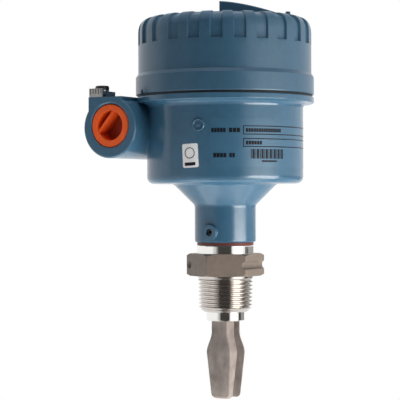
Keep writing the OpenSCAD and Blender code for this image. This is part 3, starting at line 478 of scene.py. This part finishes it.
fitting = {  # millimetres and degrees, heights from the foot of the hexagon
    "hexHalf": 20.3, "hexHeight": 13.3, "hexBevel": 1.9, "hexRound": 0.8, "sectorColumns": 46,
    "chamferRows": (0, 2.3, 16), "sideRows": (2.7, 4.6, 6), "grooveRows": (4.8, 34),
    "grooveRadius": 2.2, "grooveDepth": 2.1,
    "dimpleTurn": 240.0, "dimpleFromCorner": 3.2, "dimpleRadius": 2.2, "dimpleDepth": 2.6, "dimpleSlope": 2.6,
    "threadRadius": 16.625, "taper": 1 / 32, "pitch": 2.309, "threadDepth": 1.48, "threadLength": 21.6,
    "rootFlat": 0.1, "flankSpan": 0.68, "crestSoft": 0.35, "bandLength": 2.4, "runIn": (1.4, 0.9),
    "flankRows": [0.05, 0.08, 0.14, 0.22, 0.3, 0.36, 0.39],  # shares of the pitch from root to crest
    "endCut": 1.9, "endSlope": 1.1, "spigotRadius": 11.5, "spigotLength": 5.4,
    "collarRadius": 17.3, "collarHeight": 5.0, "stemRadius": 13.4, "stemTop": 46.0, "stemBevel": 1.0,
    "boreRadius": 9.0, "ringGroove": (34.9, 2.6, 11.1),  # height, width and floor radius for the seal
}


def hexColumns(n):
    # angles round the axis, close together at the six corners
    part = 0.5 - 0.5 * np.cos(np.pi * np.arange(n) / n)
    return (30 + 60 * (np.arange(6)[:, None] + part[None, :])).ravel() * rad


def hexRows(f):
    # heights from the top of the hexagon to its foot, close together on the chamfers and in the groove
    h = f["hexHeight"]
    upper = np.concatenate([np.linspace(*f["chamferRows"]), np.linspace(*f["sideRows"])])
    first, count = f["grooveRows"]
    return h - np.concatenate([upper, np.linspace(first, h - first, count), h - upper[::-1]])


def hexRadius(f, turn, z):
    # nearest of the six flats, one with a dimple, their rounded corners, the two chamfer cones and the
    # groove, along one ray
    half, soft = f["hexHalf"], f["hexRound"]
    offFlat = (turn + np.pi / 6) % (np.pi / 3) - np.pi / 6
    offCorner = np.pi / 6 - np.abs(offFlat)
    centre = (half - soft) / np.cos(30 * rad)
    arc = centre * np.cos(offCorner)
    arc = arc + np.sqrt(np.maximum(0, soft ** 2 - (centre * np.sin(offCorner)) ** 2))
    onArc = offCorner < np.arctan2(soft / 2, centre + soft * np.cos(30 * rad))
    fromMiddle = z - f["hexHeight"] / 2
    aside = turn - f["dimpleTurn"] * rad
    fromDimple = half * np.tan(aside) + half * np.tan(30 * rad) - f["dimpleFromCorner"]
    near = np.hypot(fromDimple, fromMiddle) / f["dimpleRadius"]
    facing = np.cos(aside) > 0.8
    dimple = f["dimpleDepth"] * np.clip(f["dimpleSlope"] * (1 - near), 0, 1) * facing
    flats = (half - dimple) / np.cos(offFlat)
    flats = np.where(onArc, np.minimum(flats, arc), flats)
    nearEnd = np.minimum(z, f["hexHeight"] - z)
    cone = half / np.cos(30 * rad) - f["hexBevel"] + nearEnd / np.tan(30 * rad)
    groove = np.sqrt(np.maximum(0, f["grooveRadius"] ** 2 - fromMiddle ** 2))
    groove = groove - (f["grooveRadius"] - f["grooveDepth"])
    cut = (half - np.maximum(0, groove)) / np.maximum(np.cos(turn), 1e-3)
    return np.minimum(np.minimum(flats, cone), cut)


def threadRadius(f, turn, z):
    # helix on a taper: a flattened triangle wave of height along the axis plus the turn, cut off by a cone
    crest = f["threadRadius"] + z * f["taper"]
    phase = (-z / f["pitch"] - turn / (2 * np.pi)) % 1
    ridge = np.clip((1 - np.abs(2 * phase - 1) - f["rootFlat"]) / f["flankSpan"], 0, 1)
    ridge = blend(ridge, ridge * ridge * (3 - 2 * ridge), f["crestSoft"])
    before, after = f["runIn"]
    cutIn = smoothStep(-z, f["bandLength"] - before, f["bandLength"] + after)
    r = crest - f["threadDepth"] * (1 - ridge) * cutIn
    endRadius = f["threadRadius"] - f["threadDepth"] - f["endCut"]
    return np.minimum(r, endRadius + (z + f["threadLength"]) * f["endSlope"])


def threadRows(f, turn):
    # heights that follow the helix, so that crest and root are each one line:
    # depth = pitch * (start + share of a turn)
    rise = np.array(f["flankRows"])
    onePitch = np.concatenate([[0], rise, [0.5], 1 - rise[::-1]])
    pitches = np.arange(-2, np.ceil(f["threadLength"] / f["pitch"]) + 1)
    start = (pitches[:, None] + onePitch[None, :] + turn[0] / (2 * np.pi)).ravel()
    depth = f["pitch"] * (start[:, None] + (turn - turn[0])[None, :] / (2 * np.pi))
    return -np.clip(depth, 0, f["threadLength"]), len(onePitch)


def fittingShell(f):
    # one sheet of radius over angle and height: turned stem, hexagon, thread and turned end in a row from
    # the top down, closed up the bore
    turn = hexColumns(f["sectorColumns"])
    grooveZ, grooveTall, grooveFloor = f["ringGroove"]
    grooveTop, grooveFoot = grooveZ + grooveTall / 2, grooveZ - grooveTall / 2
    collarTop = f["hexHeight"] + f["collarHeight"]
    spigotEnd = -f["threadLength"] - f["spigotLength"]
    stemRadius, bore = f["stemRadius"], f["boreRadius"]
    stem = roundedPath([
        (bore, f["stemTop"], 0), (stemRadius - f["stemBevel"], f["stemTop"], 0.2),
        (stemRadius, f["stemTop"] - f["stemBevel"], 0.2), (stemRadius, grooveTop, 0.1),
        (grooveFloor, grooveTop, 0.2), (grooveFloor, grooveFoot, 0.2), (stemRadius, grooveFoot, 0.1),
        (stemRadius, collarTop, 0.2), (f["collarRadius"], collarTop, 0.5),
        (f["collarRadius"], f["hexHeight"], 0),
    ], 4)
    end = roundedPath([
        (f["spigotRadius"], -f["threadLength"], 0), (f["spigotRadius"], spigotEnd, 0.55),
        (bore, spigotEnd, 0.2), (bore, 0, 0), (bore, f["stemTop"] - 0.02, 0),
    ], 5)
    hexZ = hexRows(f)
    threadZ, rowsPerPitch = threadRows(f, turn)
    one = np.ones((1, len(turn)))
    stretches = [  # radius, height, number of the finish
        (stem[:, :1] * one, stem[:, 1:] * one, 0),
        (hexRadius(f, turn[None, :], hexZ[:, None]), hexZ[:, None] * one, 1),
        (threadRadius(f, turn[None, :], threadZ), threadZ, 2),
        (end[:, :1] * one, end[:, 1:] * one, 0),
    ]
    r = np.vstack([x[0] for x in stretches])
    z = np.vstack([x[1] for x in stretches])
    rowSlot = np.concatenate([np.full(len(x[0]), x[2]) for x in stretches])
    points = np.stack([r * np.cos(turn), r * np.sin(turn), z], -1)
    faces = gridFaces(*r.shape, wrapRows=True, wrapCols=True)
    first = np.arange(len(faces)) // len(turn)
    # at the seam the helix has come down by one pitch, so a thread row goes on in the row one pitch further
    threadLast = np.flatnonzero(rowSlot == 2)[-1]
    lastColumn = np.arange(len(faces)) % len(turn) == len(turn) - 1
    seam = (rowSlot[first] == 2) & (first < threadLast) & lastColumn
    faces[seam, 1] = np.minimum(first[seam] + rowsPerPitch, threadLast) * len(turn)
    faces[seam, 2] = np.minimum(first[seam] + rowsPerPitch + 1, threadLast) * len(turn)
    # the faces between two stretches take the upper one's finish, and the hexagon's at its top
    slot = np.where(rowSlot[(first + 1) % len(rowSlot)] == 1, 1, rowSlot[first])
    return points, faces, slot


fittingSteel = [surface["polishedSteel"], surface["hexSteel"], surface["threadSteel"]]
fittingParts = [fittingShell(fitting)]
fittingPiece = makePiece("processFitting", fittingParts, fittingSteel, "housing", 28)
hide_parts("process_fitting")
print("fitting faces", len(fittingPiece.data.polygons))

# fork

fork = {  # millimetres
    "rootWidth": 15.6, "maxWidth": 21.2, "tipWidth": 15.2, "bevelRoot": 5.6, "bevelTip": 3.2,
    "gapRoot": 6.6, "gapBlade": 9.2, "rootThick": 4.6, "tipThick": 2.2, "tipRadius": 3.0,
    "flareStart": 7.0, "flareEnd": 19.3, "thinAhead": 4.0, "tipThin": 0.5, "tipThinLength": 1.2, "soft": 0.55,
    "tineTop": 0.1, "baseThick": 3.0, "baseRadius": 8.95, "baseDrop": 0.4, "baseRound": 0.3,
}


def tine(f, side):
    # softened trapezium whose widths and distances follow the length, as soft and straight ramps
    low, high = boxMm("fork")
    root = high[2] - f["baseThick"]
    length = root - low[2]
    tipStart = length - f["tipRadius"]
    flareEnd = f["flareEnd"]
    s = np.concatenate([
        np.linspace(f["tineTop"], f["flareStart"], 16), np.linspace(f["flareStart"], flareEnd, 36)[1:],
        np.linspace(flareEnd, tipStart, 40)[1:],
        tipStart + f["tipRadius"] * np.sin(np.linspace(0, 90, 14)[1:] * rad),
    ])
    flare = smoothStep(s, f["flareStart"], flareEnd)
    taper = np.clip((s - flareEnd) / (tipStart - flareEnd), 0, 1)
    pastTip = np.maximum(0, s - tipStart)
    tipCut = f["tipRadius"] - np.sqrt(np.maximum(0, f["tipRadius"] ** 2 - pastTip ** 2))
    width = blend(f["rootWidth"], f["maxWidth"], flare) + (f["tipWidth"] - f["maxWidth"]) * taper
    inner = width / 2 - tipCut
    narrow = np.clip((s - flareEnd) / (length - flareEnd), 0, 1)
    bevel = blend(f["bevelRoot"], f["bevelTip"], narrow) / 2
    nearY = blend(f["gapRoot"], f["gapBlade"], flare) / 2
    thin = np.clip((s - flareEnd + f["thinAhead"]) / (length - flareEnd + f["thinAhead"]), 0, 1)
    thick = blend(f["rootThick"], f["tipThick"], thin)
    thick = thick - f["tipThin"] * smoothStep(s, length - f["tipThinLength"], length)
    corners = np.stack([
        np.stack([inner, nearY], -1), np.stack([inner - bevel, nearY + thick], -1),
        np.stack([-inner + bevel, nearY + thick], -1), np.stack([-inner, nearY], -1),
    ], 1)
    before, after = np.roll(corners, 1, 1), np.roll(corners, -1, 1)
    goIn = (before - corners) / np.linalg.norm(before - corners, axis=-1, keepdims=True)
    goOut = (after - corners) / np.linalg.norm(after - corners, axis=-1, keepdims=True)
    t = np.linspace(0, 1, 6)[None, None, :, None]
    ring = corners[:, :, None] + f["soft"] * (goIn[:, :, None] * (1 - t) ** 2 + goOut[:, :, None] * t ** 2)
    ring = ring.reshape(len(s), -1, 2)
    centre = ring.mean(1, keepdims=True)
    first, last = [np.broadcast_to(c, ring[:1].shape) for c in (centre[:1], centre[-1:])]
    ring = np.concatenate([first, ring, last])  # closed by a middle point at both ends
    depth = np.concatenate([s[:1], s, s[-1:]])
    z = np.broadcast_to((root - depth)[:, None], ring.shape[:2])
    points = np.stack([side * ring[..., 0], side * ring[..., 1], z], -1)
    return points, gridFaces(*z.shape, wrapCols=True), 0


def forkBase(f):
    # plain disc that carries the tines: a line out, up and back in turned round the axis
    _, high = boxMm("fork")
    top, foot = high[2], high[2] - f["baseThick"] - f["baseDrop"]
    edge, soft = f["baseRadius"], f["baseRound"]
    return turned(roundedPath([(0, foot, 0), (edge, foot, soft), (edge, top, soft), (0, top, 0)], 4), 96)


forkParts = [tine(fork, -1), tine(fork, 1), forkBase(fork)]
forkPiece = makePiece("forkTines", forkParts, [surface["forkSteel"]], "housing", 40)
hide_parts("fork")
print("fork faces", len(forkPiece.data.polygons))

# label, sticker and cast mark on the round body

bodyRadius = 47.0


def onBody(turnDeg, z, out):
    # a point at an angle from -Y towards +X, at a height and a distance out of the painted wall
    a = turnDeg * rad
    r = bodyRadius + out
    return np.stack([r * np.sin(a), -r * np.cos(a), z + 0 * a], -1)


def patch(turnRange, zRange, out, thick=0.05, lean=0.0, corner=0.0, columnStep=0.7):
    # thin plate on the wall: a grid over its face whose outer ring of points is dropped onto the wall,
    # and whose rows near both ends are shortened by the arc of the corners
    across = np.radians(turnRange[1] - turnRange[0]) * bodyRadius
    tall = zRange[1] - zRange[0]
    cols = max(3, int(across / columnStep))
    u = np.concatenate([[0], np.linspace(0, 1, cols), [1]]) - 0.5
    ends = corner / tall * (1 - np.cos(np.linspace(0, np.pi / 2, 6))) if corner else np.zeros(1)
    v = np.concatenate([[0], ends, [0.5], 1 - ends[::-1], [1]]) - 0.5
    inArc = np.maximum(0, corner - tall * (0.5 - np.abs(v)))
    cut = corner - np.sqrt(np.maximum(0, corner ** 2 - inArc ** 2))
    uu, vv = np.meshgrid(u * across, v * tall)
    uu = uu * (1 - 2 * cut / across)[:, None]
    rim = np.zeros(uu.shape, bool)
    rim[[0, -1], :] = True
    rim[:, [0, -1]] = True
    cos, sin = np.cos(lean * rad), np.sin(lean * rad)
    turn = np.mean(turnRange) + np.degrees((uu * cos - vv * sin) / bodyRadius)
    z = np.mean(zRange) + uu * sin + vv * cos
    points = onBody(turn, z, np.where(rim, out - thick, out))
    return points, gridFaces(*uu.shape), 0


label = {  # each field as its angles in degrees and its heights in millimetres
    "film": ((18.3, 126.0), (64.2, 92.4)), "filmOut": 0.06, "filmThick": 0.08, "inkOut": 0.1,
    "boxes": [((41.8, 123.0), (83.0, 88.2)), ((41.8, 123.0), (75.9, 80.9))], "line": 0.5,
    "barRuns": [
        ((19.4, 29.8), (84.3, 86.8)), ((31.8, 40.0), (84.3, 86.8)),
        ((20.8, 30.3), (69.9, 72.4)), ((32.0, 36.2), (69.9, 72.4)),
    ],
    "barCell": 1.7,
    "boxRuns": [((43.8, 72.8), (84.5, 86.6)), ((43.8, 56.3), (77.3, 79.4))], "boxCell": 1.55,
    "stripes": ((47.4, 75.2), (69.2, 74.7)), "stripeCount": 24,
    "underline": ((55.8, 68.8), (67.3, 68.3)), "underlineCell": 0.9,
}


def boxLines(turnRange, zRange, line, out):
    # four thin strips that outline a field
    step = np.degrees(line / bodyRadius)
    t0, t1, z0, z1 = *turnRange, *zRange
    level = [((t0, t1), (z0, z0 + line)), ((t0, t1), (z1 - line, z1))]
    upright = [((t0, t0 + step), (z0, z1)), ((t1 - step, t1), (z0, z1))]
    return [patch(a, b, out) for a, b in level + upright]


def shortBars(turnRange, zRange, cell, out, filled=0.85):
    # a run of short printed bars, each filling most of its cell
    count = max(2, int(np.radians(turnRange[1] - turnRange[0]) * bodyRadius / cell))
    starts = np.linspace(*turnRange, count + 1)[:-1]
    wide = (turnRange[1] - turnRange[0]) / count * filled
    return [patch((a, a + wide), zRange, out) for a in starts]


def stripeField(turnRange, zRange, count, out):
    # upright stripes of three widths in a fixed order
    starts = np.linspace(*turnRange, count + 1)[:-1]
    pitch = (turnRange[1] - turnRange[0]) / count
    share = np.array([0.5, 0.72, 0.9])[(np.arange(count) * 7 + np.arange(count) ** 2) % 3]
    return [patch((a, a + pitch * w), zRange, out) for a, w in zip(starts, share)]


def labelInk(k):
    # boxes, runs of bars and stripes as one list of plates
    ink = [p for box in k["boxes"] for p in boxLines(*box, k["line"], k["inkOut"])]
    ink += [p for run in k["barRuns"] for p in shortBars(*run, k["barCell"], k["inkOut"])]
    ink += [p for run in k["boxRuns"] for p in shortBars(*run, k["boxCell"], k["inkOut"])]
    ink += stripeField(*k["stripes"], k["stripeCount"], k["inkOut"])
    return ink + shortBars(*k["underline"], k["underlineCell"], k["inkOut"])


filmParts = [patch(*label["film"], label["filmOut"], label["filmThick"])]
filmPiece = makePiece("labelFilm", filmParts, [surface["labelFilm"]], "housing", closed=False)
makePiece("labelPrint", labelInk(label), [surface["printInk"]], "housing", closed=False)

sticker = {
    "face": ((-2.3, 9.9), (64.2, 78.0)), "out": 0.09, "thick": 0.12, "lean": 2.6, "corner": 1.0,
    "bar": ((-0.4, 7.8), (65.3, 67.2)), "barOut": 0.14, "barThick": 0.05,
    "ringTurn": 3.4, "ringZ": 72.6, "ringRadius": 3.0, "ringBead": 0.22, "ringOut": 0.06,
}
castMark = {"turn": 9.95, "z": 88.85, "radius": 3.2, "bead": 0.6, "dot": 1.3, "dotHeight": 0.35, "out": -0.05}


def wallRing(turnDeg, z, radius, bead, out):
    # small round bead bent on the wall: a circle carried round a circle
    a, b = fullTurn(64)[:, None], fullTurn(16)[None, :]
    flat = radius + bead * np.cos(b)
    u, v = flat * np.cos(a), flat * np.sin(a)
    points = onBody(turnDeg + np.degrees(u / bodyRadius), z + v, out + bead * np.sin(b) + 0 * a)
    return points, gridFaces(*u.shape, True, True), 0


def wallDot(turnDeg, z, radius, tall, out):
    # low dome on the wall: height = tall * sqrt(1 - rho ** 2)
    rho = np.sin(np.linspace(0, np.pi / 2, 8))[:, None]
    a = fullTurn(32)[None, :]
    u, v = radius * rho * np.cos(a), radius * rho * np.sin(a)
    points = onBody(turnDeg + np.degrees(u / bodyRadius), z + v, out + tall * np.sqrt(1 - rho ** 2) + 0 * a)
    return points, gridFaces(*u.shape, False, True), 0


def stickerInk(k):
    # one thick bar and one ring
    bar = patch(*k["bar"], k["barOut"], k["barThick"], k["lean"])
    return [bar, wallRing(k["ringTurn"], k["ringZ"], k["ringRadius"], k["ringBead"], k["ringOut"])]


def castRing(k):
    # a bead with a low dome in its middle
    ring = wallRing(k["turn"], k["z"], k["radius"], k["bead"], k["out"])
    return [ring, wallDot(k["turn"], k["z"], k["dot"], k["dotHeight"], k["out"])]


stickerParts = [patch(*sticker["face"], sticker["out"], sticker["thick"], sticker["lean"], sticker["corner"])]
stickerPaper = [surface["stickerPaper"]]
makePiece("plainSticker", stickerParts, stickerPaper, "housing", closed=False)
makePiece("stickerMark", stickerInk(sticker), [surface["printInk"]], "housing", closed=False)
castPiece = makePiece("castRing", castRing(castMark), [surface["bluePaint"]], "housing", 60)
print("label and marks done")

# camera

camera = {"turn": 30.0, "distance": 0.93, "height": 0.0455, "aside": -0.0152, "lens": 138.8, "roll": 0.2}
viewTurn = camera["turn"] * rad
toward = np.array([np.sin(viewTurn), -np.cos(viewTurn), 0])
rightward = np.array([np.cos(viewTurn), np.sin(viewTurn), 0])
upward = np.array([0, 0, 1])
cameraData = bpy.data.cameras.new("photoCamera")
cameraData.lens = camera["lens"]
cameraData.sensor_width = 36
cameraData.clip_end = 50
cameraObject = bpy.data.objects.new("photoCamera", cameraData)
cameraObject.location = toward * camera["distance"] + rightward * camera["aside"] + upward * camera["height"]
cameraObject.rotation_euler = (np.pi / 2, camera["roll"] * rad, viewTurn)
scene.collection.objects.link(cameraObject)
scene.camera = cameraObject

# lamps

white, cream, warm = (1, 1, 1), (1.0, 0.98, 0.94), (1.0, 0.91, 0.77)
aimHeight = 0.06
lamps = {
    # degrees from the camera's direction, elevation, distance from the aim, size, power, colour
    "sideBox": (52, -10, 0.7, (0.42, 0.3), 0.9, warm),  # bright band on the thread
    "glossBox": (57, -20, 0.69, (0.62, 0.42), 7.6, cream),  # wide highlight on the paint
    "floorBox": (0, -90, 0.37, (0.6, 0.26), 0.75, white),
    "keyBox": (72, 12, 1.4, (1.2, 0.9), 3.6, white),
    "fillBox": (86, -6, 1.2, (0.9, 0.8), 5.5, white),
    "backBox": (175, 20, 1.4, (1.2, 0.9), 6.0, white),
    "rearBox": (-130, 15, 1.4, (1.0, 0.9), 3.0, white),
    "frontBox": (20, -48, 0.45, (0.6, 0.4), 1.3, white),
    "topBox": (0, 86, 1.0, (0.8, 0.8), 9.0, white),
    "underBox": (53, -40, 0.6, (0.2, 0.24), 1.15, warm),
}
glossOnly = ["sideBox", "glossBox"]
paintOnly = ["glossBox", "floorBox"]
softFill = ["keyBox", "fillBox", "backBox", "rearBox", "frontBox", "topBox", "underBox"]


def softBox(name, turnFromView, elevation, distance, size, power, colour):
    # rectangular lamp that faces the object's middle, placed by angles from the camera
    a = (camera["turn"] + turnFromView) * rad
    e = elevation * rad
    where = np.array([np.sin(a) * np.cos(e), -np.cos(a) * np.cos(e), np.sin(e)])
    lamp = bpy.data.lights.new(name, "AREA")
    lamp.shape = "RECTANGLE"
    lamp.size, lamp.size_y = size
    lamp.energy = power
    lamp.color = colour
    box = bpy.data.objects.new(name, lamp)
    box.location = where * distance + upward * aimHeight
    box.rotation_euler = (np.pi / 2 - e, 0, a)
    box.visible_camera = False
    scene.collection.objects.link(box)
    return box


softBoxes = {name: softBox(name, *row) for name, row in lamps.items()}
for name in glossOnly:
    softBoxes[name].visible_diffuse = False
for name in softFill:
    softBoxes[name].visible_glossy = False  # leaves no spot on the steel
painted = bpy.data.collections.new("painted")
for piece in [nodes["housing"], coverPiece, filmPiece, castPiece]:
    painted.objects.link(piece)
for name in paintOnly:
    softBoxes[name].light_linking.receiver_collection = painted

# floor and cards

floorHeight = -0.42
cardLift = 0.004  # flat cards lie just above the floor


def stagePlane(name, centre, size, turn, tilt, material):
    # flat sheet as a two by two grid
    half = np.array(size) / 2
    u, v = np.meshgrid([-half[0], half[0]], [-half[1], half[1]])
    mesh = bpy.data.meshes.new(name)
    mesh.from_pydata(np.stack([u, v, 0 * u], -1).reshape(-1, 3).tolist(), [], [[0, 1, 3, 2]])
    mesh.materials.append(material)
    sheet = bpy.data.objects.new(name, mesh)
    sheet.location = centre
    sheet.rotation_euler = (tilt, 0, turn)
    scene.collection.objects.link(sheet)
    return sheet


def hideCard(card):  # leaves a card in reflections only
    card.visible_camera = False
    card.visible_diffuse = False
    card.visible_shadow = False


def uprightCard(name, turnFrom, turnTo, zFrom, zTo, distance, material):
    # upright sheet that fills a range of angles from the camera's direction
    a = (camera["turn"] + (turnFrom + turnTo) / 2) * rad
    wide = 2 * distance * np.tan((turnTo - turnFrom) / 2 * rad)
    centre = (np.sin(a) * distance, -np.cos(a) * distance, (zFrom + zTo) / 2)
    hideCard(stagePlane(name, centre, (wide, zTo - zFrom), a, np.pi / 2, material))


def floorCard(name, centre, size, turn, material):
    # flat sheet on the floor
    hideCard(stagePlane(name, centre + upward * (floorHeight + cardLift), size, turn, 0, material))


def cardFinish(name, colour, strength):
    # dark sheet with an even glow, so that its tone in a reflection doesn't follow the lamps
    material, _, shader = newMaterial(name, (0.02, 0.02, 0.02), 0.9)
    shader.inputs["Emission Color"].default_value = (*colour, 1)
    shader.inputs["Emission Strength"].default_value = strength
    return material


dark = cardFinish("darkCard", (1, 0.9, 0.8), 0.025)
pale = cardFinish("paleCard", (1, 0.97, 0.97), 0.62)
grey = cardFinish("greyCard", (1, 0.98, 0.97), 0.3)
uprightCards = [
    # name, angles from and to, foot, top, distance, finish
    ("frontCard", -27, 24, floorHeight, 0.9, 0.9, dark),
    ("frontUpperCard", -46, -27, 0.085, 0.9, 1.0, dark),
    ("leftCard", -88, -46, 0.085, 0.9, 1.3, grey),
    ("frontSideCard", -32, -27, floorHeight, 0.05, 0.9, dark),
    ("greySideCard", -38, -32, floorHeight, 0.05, 0.9, grey),
    ("paleSideCard", -50, -38, floorHeight, 0.05, 0.9, pale),
    ("rightCard", 84, 104, floorHeight, 0.0, 1.3, dark),
    ("rightGreyCard", 104, 150, floorHeight, 0.0, 1.3, grey),
]
floorCards = [
    # name, centre, size, turn, finish
    ("footCard", toward * 0.5, (0.36, 0.7), viewTurn, dark),
    ("underCard", toward * -0.03, (0.11, 0.3), viewTurn, dark),
    ("sideFootCard", np.array([0.44, 0.35, 0]), (0.7, 0.16), 0.7, dark),
]
for card in uprightCards:
    uprightCard(*card)
for card in floorCards:
    floorCard(*card)
hideCard(stagePlane("topCard", (0, 0, 0.95), (2.6, 2.6), 0, 0, pale))


def seenRays(tree):
    # 1 for rays from the camera, off gloss and through clear parts, 0 for light that falls on the object
    rays = tree.nodes.new("ShaderNodeLightPath")
    seen = addMath(tree, "MAXIMUM", rays.outputs["Is Camera Ray"], rays.outputs["Is Glossy Ray"])
    return addMath(tree, "MAXIMUM", seen, rays.outputs["Is Transmission Ray"])


# the floor shows white from afar and takes the shadow near the object
floorWhite = {"near": 0.6, "far": 1.0, "nearEnd": 0.5, "farStart": 1.6}  # shares of white, metres
floorMaterial, floorTree, floorShader = newMaterial("paleFloor", (0.9, 0.9, 0.9), 0.9)
floorCoords = floorTree.nodes.new("ShaderNodeTexCoord")
fromObject = floorTree.nodes.new("ShaderNodeVectorMath")
fromObject.operation = "LENGTH"
floorTree.links.new(floorCoords.outputs["Object"], fromObject.inputs[0])
whiteShare = addRange(floorTree, fromObject.outputs["Value"], floorWhite["near"], floorWhite["far"],
                      floorWhite["nearEnd"], floorWhite["farStart"])
glow = floorTree.nodes.new("ShaderNodeEmission")
mixRays = floorTree.nodes.new("ShaderNodeMixShader")
floorTree.links.new(addMath(floorTree, "MULTIPLY", seenRays(floorTree), whiteShare), mixRays.inputs["Fac"])
floorTree.links.new(floorShader.outputs["BSDF"], mixRays.inputs[1])
floorTree.links.new(glow.outputs["Emission"], mixRays.inputs[2])
floorTree.links.new(mixRays.outputs["Shader"], floorTree.nodes["Material Output"].inputs["Surface"])
stagePlane("floor", (0, 0, floorHeight), (30, 30), 0, 0, floorMaterial)

worldLight = {"onObject": 0.14, "seen": 1.0}
world = bpy.data.worlds.new("studio")
scene.world = world
world.use_nodes = True
worldTree = world.node_tree
sky = worldTree.nodes["Background"]
sky.inputs["Color"].default_value = (1, 1, 1, 1)
skyStrength = addRange(worldTree, seenRays(worldTree), worldLight["onObject"], worldLight["seen"])
worldTree.links.new(skyStrength, sky.inputs["Strength"])
print("camera, lights and floor done")
